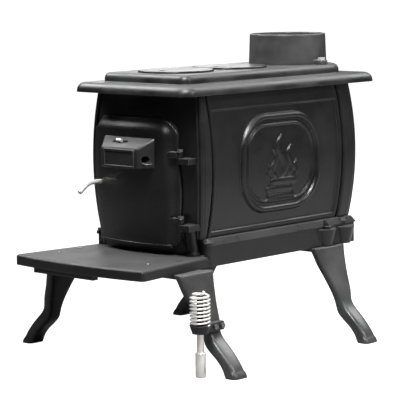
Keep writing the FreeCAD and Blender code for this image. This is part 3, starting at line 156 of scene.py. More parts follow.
def brightNickel(name, look):
    material, shader, place = newFinish(name)
    haze = place.add("TexNoise", Vector=place, Scale=look["hazeSize"], Detail=3.0)
    lines = place.add("TexNoise", Vector=place, Scale=look["lineSize"], Detail=1.0)
    shader.inputs["Metallic"].default_value = look["metal"]
    tone = haze.tint(look["clean"], look["hazy"])
    if "core" in look:  # painted shade: the part of the rod inside the grip is dark, standing for the shadow between the coil's turns
        height = place.add("SeparateXYZ", output=2, Vector=place)
        above = height.clamp(look["coreFrom"] - look["coreFade"], look["coreFrom"])
        below = 1 - height.clamp(look["coreTo"], look["coreTo"] + look["coreFade"])
        tone = (above * below).tint(tone, look["core"])
    place.plug(shader.inputs["Base Color"], tone)
    place.plug(shader.inputs["Roughness"], look["roughness"] + look["hazeRoughness"] * haze)
    bump = place.add("Bump", Strength=look["lineStrength"], Distance=look["lineDepth"], Height=lines)
    place.plug(shader.inputs["Normal"], bump)
    return material


steelLook = {
    "clean": (0.30, 0.30, 0.30, 1), "dull": (0.10, 0.10, 0.105, 1), "metal": 0.85,
    "roughness": 0.34, "hazeRoughness": 0.16, "hazeSize": 140.0,
    "fineSize": 1600.0, "fineStrength": 0.5, "fineDepth": 0.00008,
}


def zincSteel(name, look):
    material, shader, place = newFinish(name)
    haze = place.add("TexNoise", Vector=place, Scale=look["hazeSize"], Detail=4.0, Roughness=0.65)
    fine = place.add("TexNoise", Vector=place, Scale=look["fineSize"], Detail=2.0)
    shader.inputs["Metallic"].default_value = look["metal"]
    place.plug(shader.inputs["Base Color"], haze.tint(look["clean"], look["dull"]))
    place.plug(shader.inputs["Roughness"], look["roughness"] + look["hazeRoughness"] * haze)
    bump = place.add("Bump", Strength=look["fineStrength"], Distance=look["fineDepth"], Height=fine)
    place.plug(shader.inputs["Normal"], bump)
    return material


ropeLook = {
    "high": (0.045, 0.045, 0.044, 1), "low": (0.014, 0.014, 0.014, 1), "roughness": 0.92,
    "weave": 420, "fuzzSize": 1500.0, "weaveShare": 0.7, "fuzzShare": 0.3, "fuzzHeight": 0.4,
    "weaveStrength": 0.8, "weaveDepth": 0.0005,
}


def gasketRope(name, look):
    material, shader, place = newFinish(name)
    warp = place.add("TexWave", {"bands_direction": "DIAGONAL"}, output=1, Vector=place, Scale=look["weave"])
    fuzz = place.add("TexNoise", Vector=place, Scale=look["fuzzSize"], Detail=3.0)
    shader.inputs["Roughness"].default_value = look["roughness"]
    tone = look["weaveShare"] * warp + look["fuzzShare"] * fuzz
    place.plug(shader.inputs["Base Color"], tone.tint(look["low"], look["high"]))
    height = warp + look["fuzzHeight"] * fuzz
    bump = place.add("Bump", Strength=look["weaveStrength"], Distance=look["weaveDepth"], Height=height)
    place.plug(shader.inputs["Normal"], bump)
    return material


finishes = {
    "cast_iron": castIron("satinStoveIron", ironLook),
    "dark_steel": zincSteel("zincSteel", steelLook),
    "bright_nickel": brightNickel("brightNickel", nickelLook),
    "gasket_rope": gasketRope("glassRope", ropeLook),
}
# the lighter iron is painted light on the right legs and the collar
litSideIron = castIron("paleStoveIron", litSideLook)
otherFinish = {
    "top_plate": castIron("roundedStoveIron", litTopLook), "hearth_plate": castIron("dullStoveIron", hearthLook),
    "draft_box": castIron("hoodStoveIron", hoodLook), "flue_collar": litSideIron,
    "front_right_leg": litSideIron, "rear_right_leg": litSideIron,
    "draft_slide": finishes["bright_nickel"], "flue_collar_bolts": finishes["bright_nickel"],
    "handle_shank": brightNickel("shankNickel", shankLook),
    "latch_lever": brightNickel("latchNickel", latchLook),
    "leg_bolts": finishes["cast_iron"],
}
print("finishes made:", ", ".join(finishes))

slotOf = {part["node"]: part["material_slot"] for part in frame["record"]["subparts"]}
for nodeName, node in frame["nodes"].items():
    node.data.materials.clear()
    node.data.materials.append(otherFinish.get(nodeName, finishes[slotOf[nodeName]]))
print("nodes dressed")


# shapes shared by the curved walls

wallShape = {
    "middle": 0.384, "radius": 0.8964, "crown": 0.145, "foot": 0.244, "top": 0.524,
    "plan": 0.386, "planHub": 0.190, "rearCrown": 0.3037, "thickness": 0.007, "postAhead": 0.003,
}


def bulge(z):  # how far the barrel has drawn in at this height
    return wallShape["radius"] - math.sqrt(wallShape["radius"] ** 2 - (z - wallShape["middle"]) ** 2)


def sideFace(z):
    return wallShape["crown"] - bulge(z)


def frontFace(x, z, ahead):
    return wallShape["planHub"] - math.sqrt((wallShape["plan"] - bulge(z) + ahead) ** 2 - x * x)


def hump(off, half):  # half-round: 1 in the middle, 0 at its edges
    return math.sqrt(max(0.0, 1 - (off / half) ** 2))


def ease(value, low, high):
    share = min(1.0, max(0.0, (value - low) / (high - low)))
    return share * share * (3 - 2 * share)


# modelling steps that several pieces share

meshCare = {"weld": 2e-6, "tinyInset": 1e-5, "bevelSegments": 3, "sharp": 40, "softer": 50, "crisp": 35}


def clearSelection():
    bpy.ops.object.select_all(action="DESELECT")


def makeActive(piece):
    clearSelection()
    piece.select_set(True)
    bpy.context.view_layer.objects.active = piece


def faceOutward():  # normals of the active piece
    bpy.ops.object.mode_set(mode="EDIT")
    bpy.ops.mesh.select_all(action="SELECT")
    bpy.ops.mesh.normals_make_consistent(inside=False)
    bpy.ops.object.mode_set(mode="OBJECT")


def shadeSmooth(degrees):
    bpy.ops.object.shade_smooth_by_angle(angle=math.radians(degrees))


def dress(piece, name, body, slot, *nodes, finish=None):
    makeActive(piece)
    bpy.ops.object.mode_set(mode="EDIT")
    bpy.ops.mesh.select_all(action="SELECT")
    bpy.ops.mesh.dissolve_degenerate(threshold=meshCare["weld"])
    bpy.ops.object.mode_set(mode="OBJECT")
    piece.name = name
    piece.data.name = name
    piece.data.materials.clear()
    piece.data.materials.append(finish or finishes[slot])
    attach(piece, body)
    if nodes:
        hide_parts(*nodes)


def bevelAll(piece, width):
    makeActive(piece)
    edge = piece.modifiers.new("softEdges", "BEVEL")
    edge.width = width
    edge.segments = meshCare["bevelSegments"]
    edge.limit_method = "ANGLE"
    edge.angle_limit = math.radians(meshCare["sharp"])
    bpy.ops.object.modifier_apply(modifier=edge.name)


def cutAway(piece, cutter):
    makeActive(piece)
    hole = piece.modifiers.new("hole", "BOOLEAN")
    hole.operation, hole.solver, hole.object = "DIFFERENCE", "EXACT", cutter
    bpy.ops.object.modifier_apply(modifier=hole.name)
    clearSelection()
    cutter.select_set(True)
    bpy.ops.object.delete()


def joinPieces(pieces):
    makeActive(pieces[0])
    for piece in pieces:
        piece.select_set(True)
    bpy.ops.object.join()
    shadeSmooth(meshCare["sharp"])
    return bpy.context.object


def addBlock(low, high, bevel=0):
    clearSelection()
    bpy.ops.mesh.primitive_cube_add(size=1, location=[(a + b) / 2 for a, b in zip(low, high)])
    block = bpy.context.object
    block.scale = [b - a for a, b in zip(low, high)]
    bpy.ops.object.transform_apply(location=True, rotation=True, scale=True)
    if bevel:
        bevelAll(block, bevel)
    return block


def addRod(sides, radius, x, y, low, high):
    clearSelection()
    middle = (x, y, (low + high) / 2)
    bpy.ops.mesh.primitive_cylinder_add(vertices=sides, radius=radius, depth=high - low, location=middle)
    bpy.ops.object.transform_apply(location=True, rotation=True, scale=True)
    return bpy.context.object


def makeTube(points, radius, name, order=4, resolution=4):  # a round bar along a smooth line
    clearSelection()
    bpy.ops.curve.primitive_nurbs_path_add(location=(0, 0, 0))
    bar = bpy.context.object
    bar.name = name
    bar.data.splines.clear()
    spline = bar.data.splines.new("NURBS")
    spline.points.add(len(points) - 1)
    for point, place in zip(spline.points, points):
        point.co = (*place, 1)
    spline.order_u = order
    spline.use_endpoint_u = True
    spline.resolution_u = resolution
    bar.data.bevel_depth = radius
    bar.data.bevel_resolution = 4
    bar.data.use_fill_caps = True
    bpy.ops.object.convert(target="MESH")
    return bpy.context.object


def slicePiece(axis, low, high, count):  # even cuts across the piece that is being edited
    way = [float(number == axis) for number in range(3)]
    for cut in range(1, count):
        place = low + (high - low) * cut / count
        bpy.ops.mesh.select_all(action="SELECT")
        bpy.ops.mesh.bisect(plane_co=[place * part for part in way], plane_no=way)


def roundedOutline(box, radii, cornerPoints, sidePoints):  # from the lower left corner round
    left, right, low, high = box
    hubs = [(left + radii[0], low + radii[0]), (right - radii[1], low + radii[1]),
            (right - radii[2], high - radii[2]), (left + radii[3], high - radii[3])]
    points = []
    for number, (hub, radius) in enumerate(zip(hubs, radii)):
        start = math.pi + number * math.pi / 2
        for step in range(cornerPoints[number]):
            angle = start + math.pi / 2 * step / cornerPoints[number]
            points.append((hub[0] + radius * math.cos(angle), hub[1] + radius * math.sin(angle)))
        after = (number + 1) % 4
        turn = Vector((math.cos(start + math.pi / 2), math.sin(start + math.pi / 2)))
        first, last = Vector(hub) + radius * turn, Vector(hubs[after]) + radii[after] * turn
        points += [tuple(first.lerp(last, step / sidePoints[number])) for step in range(sidePoints[number])]
    return points


def startPlate(outline, depth, front, axes):  # a flat plate, left in edit mode with its front face selected
    clearSelection()
    bpy.ops.mesh.primitive_circle_add(vertices=len(outline), radius=1, fill_type="NGON")
    plate = bpy.context.object
    for vertex, place in zip(plate.data.vertices, outline):
        for axis, value in zip(axes, (*place, depth)):
            vertex.co[axis] = value
    bpy.ops.object.mode_set(mode="EDIT")
    bpy.ops.mesh.select_mode(type="FACE")
    bpy.ops.mesh.select_all(action="SELECT")
    move = [(front - depth) * (axis == axes[2]) for axis in range(3)]
    bpy.ops.mesh.extrude_region_move(TRANSFORM_OT_translate={"value": move})
    return plate


def addRing(piece, ring, following, depth, axes):  # draws the selected face in to the next ring
    bpy.ops.mesh.inset(thickness=meshCare["tinyInset"], use_boundary=True)
    bpy.ops.object.mode_set(mode="OBJECT")
    for vertex in piece.data.vertices:
        if vertex.select:
            here = (vertex.co[axes[0]], vertex.co[axes[1]])
            nearest = min(range(len(ring)), key=lambda i: math.dist(ring[i], here))
            for axis, value in zip(axes, (*following[nearest], depth)):
                vertex.co[axis] = value
    bpy.ops.object.mode_set(mode="EDIT")
    return following


# side panels: posts, beads, rails and the medallion in one casting

sidePanel = {
    "columns": 330, "rows": 174, "postColumns": 0.16, "postRun": 0.09, "returnBehind": 0.012,
    "reeds": (0.26, 0.92), "reedHalf": 0.0024, "reedDepth": 0.0014,
    "gutterPlace": 0.0022, "gutterHalf": 0.0026, "gutterDepth": 0.0030,
    "cornerInset": 0.0066, "cornerRadius": 0.0115, "frontLean": 0.15,
    "postEnd": -0.1390, "postEndDrift": -0.0075, "postProud": 0.0070, "postRound": 0.006,
    "rearPostWidth": 0.034, "rearEdge": 0.002,
    "beadStep": 0.0085, "beadHalf": 0.0046, "beadProud": 0.0050,
    "railFoot": 0.494, "railProud": 0.0042, "railSoft": 0.004, "railEnds": (0.001, 0.004),
    "footRailTop": 0.253,
}
medallion = {
    "middle": (0.072, 0.3765), "half": (0.123, 0.0995), "corner": 0.080,
    "beadPlace": 0.0065, "beadHalf": 0.0066, "beadProud": 0.0068,
    "innerPlace": 0.0225, "innerHalf": 0.0032, "innerProud": 0.0040,
    "fieldSink": 0.0006, "sinkRange": (0.010, 0.014),
}
logFire = {
    "logs": [((0.036, 0.305), (0.112, 0.305), 0.0085), ((0.030, 0.3215), (0.104, 0.3215), 0.0080),
             ((0.046, 0.337), (0.118, 0.337), 0.0075)],
    "logProud": 0.0034, "logEnd": 2.2, "barkWaves": 900, "barkSlant": 40, "barkDepth": 0.0003,
    "flames": [((0.075, 0.345), (0.078, 0.434), 0.012, 0.0150),
               ((0.057, 0.344), (0.047, 0.404), -0.009, 0.0105),
               ((0.095, 0.345), (0.106, 0.411), 0.010, 0.0105),
               ((0.040, 0.343), (0.031, 0.377), -0.005, 0.0065),
               ((0.112, 0.344), (0.121, 0.378), 0.005, 0.0065)],
    "flameProud": 0.0028, "flameTaper": 0.8, "flameFoot": 0.55, "flameBelly": 1.5, "flameFade": 0.1,
}


def medallionEdge(y, z):  # distance in from the medallion's outline
    shape = medallion
    across = abs(y - shape["middle"][0]) - shape["half"][0] + shape["corner"]
    up = abs(z - shape["middle"][1]) - shape["half"][1] + shape["corner"]
    outside = math.hypot(max(across, 0), max(up, 0)) + min(max(across, up), 0)
    return shape["corner"] - outside


def logHeight(y, z):
    look, tall = logFire, 0
    for start, end, radius in look["logs"]:
        along = min(end[0], max(start[0], y)) - y
        off = math.hypot(along * look["logEnd"], z - start[1])
        bark = look["barkDepth"] * math.sin(look["barkWaves"] * z + look["barkSlant"] * y)
        tall = max(tall, (look["logProud"] - bark) * hump(off, radius))
    return tall


def flameHeight(y, z):
    look, tall = logFire, 0
    for foot, tip, sway, half in look["flames"]:
        share = (z - foot[1]) / (tip[1] - foot[1])
        if 0 < share < 1:
            line = foot[0] + (tip[0] - foot[0]) * share + sway * math.sin(2 * math.pi * share)
            belly = look["flameFoot"] + look["flameBelly"] * share
            width = half * (1 - share) ** look["flameTaper"] * belly
            tall = max(tall, look["flameProud"] * hump(y - line, width) * ease(share, 0, look["flameFade"]))
    return tall


def postCurve(rise):  # a post's rounded shoulder
    look = sidePanel
    short = look["postRound"] - min(rise, look["postRound"])
    return look["postProud"] - look["postRound"] + math.sqrt(look["postRound"] ** 2 - short ** 2)


def medallionRelief(tall, y, z):
    inside, look = medallionEdge(y, z), medallion
    if inside <= 0:
        return tall
    tall = max(tall, look["beadProud"] * hump(inside - look["beadPlace"], look["beadHalf"]),
               look["innerProud"] * hump(inside - look["innerPlace"], look["innerHalf"]))
    if inside > look["innerPlace"]:
        tall = max(tall, flameHeight(y, z), logHeight(y, z))
    return tall - look["fieldSink"] * ease(inside, *look["sinkRange"])


def panelRelief(pastPost, fromRear, y, z):
    look = sidePanel
    pastRear = fromRear - look["rearPostWidth"]
    if pastPost < 0:
        return postCurve(-pastPost)
    if pastRear < 0:
        return postCurve(min(fromRear + look["rearEdge"], -pastRear))
    nearest = min(pastPost, pastRear)
    bead = look["beadProud"] * hump(nearest - look["beadStep"], look["beadHalf"])
    rail = max(ease(z, look["railFoot"] - look["railSoft"], look["railFoot"]),
               ease(-z, -look["footRailTop"] - look["railSoft"], -look["footRailTop"]))
    tall = max(bead, look["railProud"] * rail * ease(nearest, *look["railEnds"]))
    gutter = look["gutterDepth"] * hump(nearest - look["gutterPlace"], look["gutterHalf"])
    return medallionRelief(tall, y, z) - gutter


def panelPoint(share, z):  # one point of the casting: along the front, round the corner, then along the side
    look, shape = sidePanel, wallShape
    face = sideFace(z)
    out = face + look["postProud"]
    radius = look["cornerRadius"]
    start = face - look["cornerInset"]
    ahead = frontFace(start, z, shape["postAhead"])
    far = shape["rearCrown"] - bulge(z)
    flat = out - radius - start
    quarter = radius * math.pi / 2
    run = share * (flat + quarter + far - ahead - radius)
    dip = look["reedDepth"] * max(hump(run - flat - quarter * reed, look["reedHalf"])
                                  for reed in look["reeds"])
    if run < flat:
        return start + run, ahead + look["frontLean"] * run + dip
    hub = ahead + look["frontLean"] * flat + radius
    if run < flat + quarter:
        turn = (run - flat) / radius
        return out - radius + (radius - dip) * math.sin(turn), hub - (radius - dip) * math.cos(turn)
    y = hub + (run - flat - quarter) * (far - hub) / (far - ahead - radius)
    postEnd = look["postEnd"] + look["postEndDrift"] * bulge(z) / bulge(shape["top"])
    return face + panelRelief(y - postEnd, far - y, y, z) - dip, y


def makeSidePanel(look):
    clearSelection()
    bpy.ops.mesh.primitive_grid_add(x_subdivisions=look["columns"], y_subdivisions=look["rows"], size=1)
    panel = bpy.context.object
    shape = wallShape
    for vertex in panel.data.vertices:
        z = shape["foot"] + (vertex.co.y + 0.5) * (shape["top"] - shape["foot"])
        share = vertex.co.x + 0.5
        if share < look["postColumns"]:  # columns lie closer on the post
            share *= look["postRun"] / look["postColumns"]
        else:
            share = 1 - (1 - share) * (1 - look["postRun"]) / (1 - look["postColumns"])
        vertex.co = (*panelPoint(share, z), z)
    bpy.ops.object.mode_set(mode="EDIT")
    bpy.ops.mesh.select_all(action="DESELECT")
    bpy.ops.mesh.select_mode(type="EDGE")
    bpy.ops.mesh.select_non_manifold()
    bpy.ops.mesh.extrude_region_move(TRANSFORM_OT_translate={"value": (-shape["thickness"], 0, 0)})
    bpy.ops.object.mode_set(mode="OBJECT")
    for vertex in panel.data.vertices:
        if vertex.select:
            vertex.co.x = sideFace(vertex.co.z) - shape["thickness"]
            inner = frontFace(vertex.co.x, vertex.co.z, 0) + look["returnBehind"]
            vertex.co.y = max(vertex.co.y, inner)
    bpy.ops.object.mode_set(mode="EDIT")
    bpy.ops.mesh.edge_face_add()
    faceOutward()
    shadeSmooth(meshCare["softer"])
    return panel


def mirrorCopy(source):
    makeActive(source)
    bpy.ops.object.duplicate()
    twin = bpy.context.object
    twin.scale.x = -1
    bpy.ops.object.transform_apply(location=False, rotation=False, scale=True)
    faceOutward()
    return twin


rightPanel = makeSidePanel(sidePanel)
leftPanel = mirrorCopy(rightPanel)
dress(rightPanel, "rightCastPanel", "stove", "cast_iron", "right_side_panel")
dress(leftPanel, "leftCastPanel", "stove", "cast_iron", "left_side_panel")
print("side panels cast")


# loading door: one bowed plate with a soft raised face, a foot lip and two hinge straps

doorPlate = {
    "left": -0.122, "right": 0.1035, "foot": 0.226, "top": 0.478, "middle": (-0.009, 0.350),
    "tightest": 0.002, "leftShare": 0.25, "footShare": 0.22, "axes": (0, 2, 1),
    "corners": (0.007, 0.014, 0.036, 0.032), "sidePoints": (30, 36, 30, 36), "cornerPoints": (8, 8, 14, 14),
    "rightEdge": [(0.226, -0.0100), (0.246, -0.0040), (0.260, -0.0010), (0.290, 0.0), (0.305, 0.0027),
                  (0.325, 0.0050), (0.345, 0.0055), (0.365, 0.0045), (0.382, 0.0020), (0.392, 0.0),
                  (0.420, 0.0), (0.442, -0.0020), (0.478, -0.0060)],
    "back": 0.0032, "rim": 0.0050,
    "rings": [(0.0010, 0.0060), (0.0024, 0.0068), (0.0054, 0.0076), (0.0084, 0.0086), (0.0110, 0.0099),
              (0.0135, 0.0114), (0.0160, 0.0128), (0.0185, 0.0141), (0.0210, 0.0151), (0.0235, 0.0158),
              (0.0265, 0.0162)],
    "shrink": (0.85, 0.68, 0.50, 0.32, 0.14),
}
doorLip = {"level": 0.2288, "radius": 0.0026, "left": -0.117, "right": 0.086, "ahead": 0.0152, "steps": 24}
hinge = {
    "axis": (0.112, -0.190), "levels": (0.404, 0.274), "height": 0.012, "eye": 0.007, "eyeSides": 28,
    "strapEnd": 0.092, "strapAhead": (0.0085, 0.0205), "taper": 0.006, "behind": 0.004,
    "slab": 0.01, "cuts": 3, "bevel": 0.0016,
}


def rightShift(z):
    table = doorPlate["rightEdge"]
    for (low, first), (high, second) in zip(table, table[1:]):
        if z <= high:
            return first + (second - first) * max(0, z - low) / (high - low)
    return table[-1][1]


def doorRing(inset):  # the door's outline drawn in, always with the same number of points
    look = doorPlate
    box = (look["left"] + inset * look["leftShare"], look["right"] - inset,
           look["foot"] + inset * look["footShare"], look["top"] - inset)
    radii = [max(radius - inset, look["tightest"]) for radius in look["corners"]]
    points = roundedOutline(box, radii, look["cornerPoints"], look["sidePoints"])
    return [(x + rightShift(z) * max(0, x / look["right"]), z) for x, z in points]


def shrunk(ring, share):
    across, up = doorPlate["middle"]
    return [(across + (x - across) * share, up + (z - up) * share) for x, z in ring]


def makeDoorPlate(look):
    outline = doorRing(0)
    plate = startPlate(outline, look["back"], look["rim"], look["axes"])
    ring = outline
    for inset, depth in look["rings"]:
        ring = addRing(plate, ring, doorRing(inset), depth, look["axes"])
    face = ring
    for share in look["shrink"]:
        ring = addRing(plate, ring, shrunk(face, share), depth, look["axes"])
    bpy.ops.object.mode_set(mode="OBJECT")
    for polygon in plate.data.polygons:
        polygon.select = len(polygon.vertices) > 4 and polygon.center.y < (look["back"] + look["rim"]) / 2
    bpy.ops.object.mode_set(mode="EDIT")
    ring = outline
    for share in look["shrink"]:
        ring = addRing(plate, ring, shrunk(outline, share), look["back"], look["axes"])
    bpy.ops.object.mode_set(mode="OBJECT")
    for vertex in plate.data.vertices:
        vertex.co.y = frontFace(vertex.co.x, vertex.co.z, vertex.co.y)
    faceOutward()
    return plate


def makeDoorLip(look):
    shares = [step / look["steps"] for step in range(look["steps"] + 1)]
    places = [look["left"] + (look["right"] - look["left"]) * share for share in shares]
    line = [(x, frontFace(x, look["level"], look["ahead"]), look["level"]) for x in places]
    return makeTube(line, look["radius"], "doorLip")


def makeStrap(look, level):
    x, y = look["axis"]
    end, slab, top = look["strapEnd"], look["slab"], level + look["height"]
    strap = addBlock((end, -slab / 2, level), (x, slab / 2, top))
    bpy.ops.object.mode_set(mode="EDIT")
    bpy.ops.mesh.select_all(action="SELECT")
    bpy.ops.mesh.subdivide(number_cuts=look["cuts"])
    bpy.ops.object.mode_set(mode="OBJECT")
    low, high = look["strapAhead"]
    for vertex in strap.data.vertices:
        share = (vertex.co.x - end) / (x - end)
        ahead = low + (high - look["taper"] * share * share - low) * (0.5 - vertex.co.y / slab)
        vertex.co.y = min(frontFace(vertex.co.x, vertex.co.z, ahead), y + look["behind"])
    eye = addRod(look["eyeSides"], look["eye"], x, y, level, top)
    for piece in (strap, eye):
        bevelAll(piece, look["bevel"])
    return [strap, eye]


doorPieces = [makeDoorPlate(doorPlate), makeDoorLip(doorLip)]
for level in hinge["levels"]:
    doorPieces += makeStrap(hinge, level)
dress(joinPieces(doorPieces), "loadingDoor", "door", "cast_iron", "door")
print("door modelled")


# pillar under the lower hinge lug, with a flared foot

hingePillar = {
    "place": 0.1165, "half": 0.0135, "proud": 0.010, "foot": 0.2105, "top": 0.2615,
    "flare": 0.0035, "flareHeight": 0.007, "around": 40, "up": 18, "sink": 0.002, "backEdge": -1e-4,
}


def makePillar(look):
    clearSelection()
    bpy.ops.mesh.primitive_cylinder_add(vertices=look["around"], radius=1, depth=1)
    pillar = bpy.context.object
    bpy.ops.object.mode_set(mode="EDIT")
    bpy.ops.mesh.select_all(action="SELECT")
    bpy.ops.mesh.bisect(plane_co=(0, 0, 0), plane_no=(0, 1, 0), clear_outer=True, use_fill=True)
    slicePiece(2, -0.5, 0.5, look["up"])
    bpy.ops.object.mode_set(mode="OBJECT")
    for vertex in pillar.data.vertices:
        z = look["foot"] + (vertex.co.z + 0.5) * (look["top"] - look["foot"])
        swell = look["flare"] * hump(min(z - look["foot"], look["flareHeight"]), look["flareHeight"])
        x = look["place"] + vertex.co.x * (look["half"] + swell)
        ahead = -vertex.co.y * (look["proud"] + swell) - look["sink"] * (vertex.co.y > look["backEdge"])
        vertex.co = (x, frontFace(look["place"], z, ahead), z)
    faceOutward()
    shadeSmooth(meshCare["softer"])
    return pillar


dress(makePillar(hingePillar), "hingePillar", "stove", "cast_iron")
print("hinge pillar placed")


# draft hood: a chamfered hollow box on the door, with a framed face, a slot and an air port

draftHood = {
    "middle": -0.0107, "half": 0.0735, "faceHalf": 0.0493, "foot": 0.380, "top": 0.442, "faceTop": 0.420,
    "face": -0.2352, "sink": 0.0132, "cuts": 10, "bevel": 0.0042,
    "hollow": ((-0.0587, -0.2240, 0.3840), (0.0373, -0.1900, 0.4205)),
    "slot": ((-0.0415, -0.2219, 0.4150), (0.0001, -0.2175, 0.4600)),
    "port": {"y": -0.2212, "z": 0.399, "radius": 0.007, "from": 0.020, "to": 0.090, "sides": 48},
    "frame": {"half": 0.042, "low": 0.382, "high": 0.418, "band": 0.004, "front": -0.2372, "back": -0.2345,
              "bevel": 0.0007, "lower": 0.0001},
}


def makePortCutter(look):
    clearSelection()
    middle = ((look["from"] + look["to"]) / 2, look["y"], look["z"])
    bpy.ops.mesh.primitive_cylinder_add(vertices=look["sides"], radius=look["radius"],
                                        depth=look["to"] - look["from"],
                                        location=middle, rotation=(0, math.pi / 2, 0))
    bpy.ops.object.transform_apply(location=True, rotation=True, scale=True)
    return bpy.context.object


def makeHoodFrame(look, middle):  # two long bars, and two upright ones that lie slightly lower
    left, right, band = middle - look["half"], middle + look["half"], look["band"]
    low, high = look["low"], look["high"]
    spans = [(left, low, right, low + band, 0), (left, high - band, right, high, 0),
             (left, low + band / 2, left + band, high - band / 2, look["lower"]),
             (right - band, low + band / 2, right, high - band / 2, look["lower"])]
    return [addBlock((x0, look["front"] + lower, z0), (x1, look["back"] + lower, z1), look["bevel"])
            for x0, z0, x1, z1, lower in spans]


def makeHood(look):
    hood = addBlock((-1, 0, 0), (1, 1, 1))
    bpy.ops.object.mode_set(mode="EDIT")
    slicePiece(0, -1, 1, look["cuts"])
    bpy.ops.object.mode_set(mode="OBJECT")
    for vertex in hood.data.vertices:
        ahead, high = vertex.co.y < 0.5, vertex.co.z > 0.5
        x = look["middle"] + vertex.co.x * (look["faceHalf"] if ahead else look["half"])
        z = (look["faceTop"] if ahead else look["top"]) if high else look["foot"]
        vertex.co = (x, look["face"] if ahead else frontFace(x, z, look["sink"]), z)
    bevelAll(hood, look["bevel"])
    cutAway(hood, addBlock(*look["hollow"]))
    cutAway(hood, addBlock(*look["slot"]))
    cutAway(hood, makePortCutter(look["port"]))
    return joinPieces([hood] + makeHoodFrame(look["frame"], look["middle"]))


dress(makeHood(draftHood), "draftHood", "door", slotOf["draft_box"], "draft_box",
      finish=otherFinish["draft_box"])
print("draft hood cast")


# lip under the air port, and the curled end of the slide's tab

portLip = {
    "middle": (0.0533, -0.2212, 0.3893), "along": (0.725, 0.689), "half": 0.010,
    "swell": 0.0025, "rise": 0.0015, "radius": 0.0021, "steps": 4,
}
tabCurl = {"left": -0.0267, "right": -0.0147, "place": -0.2222, "level": 0.4340, "radius": 0.0034, "steps": 3}


def makePortLip(look):
    x, y, z = look["middle"]
    alongX, alongY = look["along"]
    points = []
    for step in range(-look["steps"], look["steps"] + 1):
        share = step / look["steps"]
        along, out = look["half"] * share, look["swell"] * (1 - share * share)
        points.append((x + alongX * along + alongY * out, y + alongY * along - alongX * out,
                       z + look["rise"] * share * share))
    return makeTube(points, look["radius"], "portLip")


def makeTabCurl(look):
    shares = [step / look["steps"] for step in range(look["steps"] + 1)]
    places = [look["left"] + (look["right"] - look["left"]) * share for share in shares]
    line = [(x, look["place"], look["level"]) for x in places]
    return makeTube(line, look["radius"], "tabCurl")


dress(makePortLip(portLip), "portLip", "door", "cast_iron")
dress(makeTabCurl(tabCurl), "tabCurl", "draft_slide", "bright_nickel")
print("draft box dressed")


# low studs that hold the hearth

hearthStud = {
    "places": ((-0.123, -0.294), (0.123, -0.294)), "seat": 0.2105, "radius": 0.0036, "height": 0.0018,
    "shank": 0.0035, "foot": 0.1785, "sides": 24, "rings": 12,
}


def makeStud(look, x, y):
    clearSelection()
    bpy.ops.mesh.primitive_uv_sphere_add(segments=look["sides"], ring_count=look["rings"], radius=1,
                                         location=(x, y, look["seat"]))
    head = bpy.context.object
    head.scale = (look["radius"], look["radius"], look["height"])
    bpy.ops.object.transform_apply(location=True, rotation=True, scale=True)
    return [head, addRod(look["sides"], look["shank"], x, y, look["foot"], look["seat"])]


studPieces = []
for x, y in hearthStud["places"]:
    studPieces += makeStud(hearthStud, x, y)
dress(joinPieces(studPieces), "hearthStuds", "stove", slotOf["hearth_bolts"], "hearth_bolts")
print("hearth studs placed")


# leg bolts: sunk in the hearth, hex heads on the rear lugs

legBolt = {
    "heads": ((0.138, -0.224, 0.210, 32, 0.0006),
              (0.156, 0.207, 0.226, 6, 0.0055)),  # x, y, seat, sides, height
    "head": 0.0079, "shank": 0.0039, "shankSides": 24, "foot": 0.1785,
}
boltPieces = []
for side in (-1, 1):
    for x, y, seat, sides, tall in legBolt["heads"]:
        boltPieces += [addRod(sides, legBolt["head"], side * x, y, seat, seat + tall),
                       addRod(legBolt["shankSides"], legBolt["shank"], side * x, y, legBolt["foot"], seat)]
dress(joinPieces(boltPieces), "legBoltSet", "stove", slotOf["leg_bolts"], "leg_bolts",
      finish=otherFinish["leg_bolts"])
print("leg bolts placed")


# latch lever: a bent bright bar

latchBar = {
    "x": -0.096, "radius": 0.0048, "bevel": 0.0014, "order": 3, "resolution": 6,
    "line": [(-0.165, 0.346), (-0.185, 0.346), (-0.205, 0.346), (-0.222, 0.346), (-0.2315, 0.3455),
             (-0.2385, 0.3430), (-0.2455, 0.3385), (-0.253, 0.3335), (-0.2605, 0.3285)],
}


def makeLatch(look):
    points = [(look["x"], y, z) for y, z in look["line"]]
    latch = makeTube(points, look["radius"], "latchBar", order=look["order"], resolution=look["resolution"])
    bevelAll(latch, look["bevel"])
    shadeSmooth(meshCare["sharp"])
    return latch


dress(makeLatch(latchBar), "bentLatchBar", "latch", slotOf["latch_lever"], "latch_lever",
      finish=otherFinish["latch_lever"])
print("latch bent")


# wound wire grip on the loose handle, and its rod with a socket end

gripCoil = {
    "axis": (0.234, -0.271), "foot": 0.1000, "top": 0.1675, "turns": 9.2, "perTurn": 20,
    "radius": 0.0186, "neck": 0.0075, "domeTurns": 1.7, "wire": 0.0019, "resolution": 3,
}
handleRod = {
    "sections": ((0.0065, 0.046, 0.158), (0.0098, 0.003, 0.050),
                 (0.0115, 0.0985, 0.1015)),  # radius, foot and top
    "sides": 32, "bevel": 0.0015,
}


def makeGripCoil(look):
    middleX, middleY = look["axis"]
    low, high = look["foot"] + look["wire"], look["top"] - look["wire"]
    points = []
    for step in range(int(look["turns"] * look["perTurn"]) + 1):
        turned = step / look["perTurn"]
        closing = max(0.0, 1 - (look["turns"] - turned) / look["domeTurns"])
        radius = look["radius"] - (look["radius"] - look["neck"]) * closing ** 2
        angle = 2 * math.pi * turned
        z = low + (high - low) * turned / look["turns"]
        points.append((middleX + radius * math.cos(angle), middleY + radius * math.sin(angle), z))
    coil = makeTube(points, look["wire"], "gripCoil", resolution=look["resolution"])
    shadeSmooth(meshCare["softer"])
    return coil


def makeHandleRod(look, axis):
    pieces = [addRod(look["sides"], radius, *axis, foot, top) for radius, foot, top in look["sections"]]
    for piece in pieces:
        bevelAll(piece, look["bevel"])
    return joinPieces(pieces)


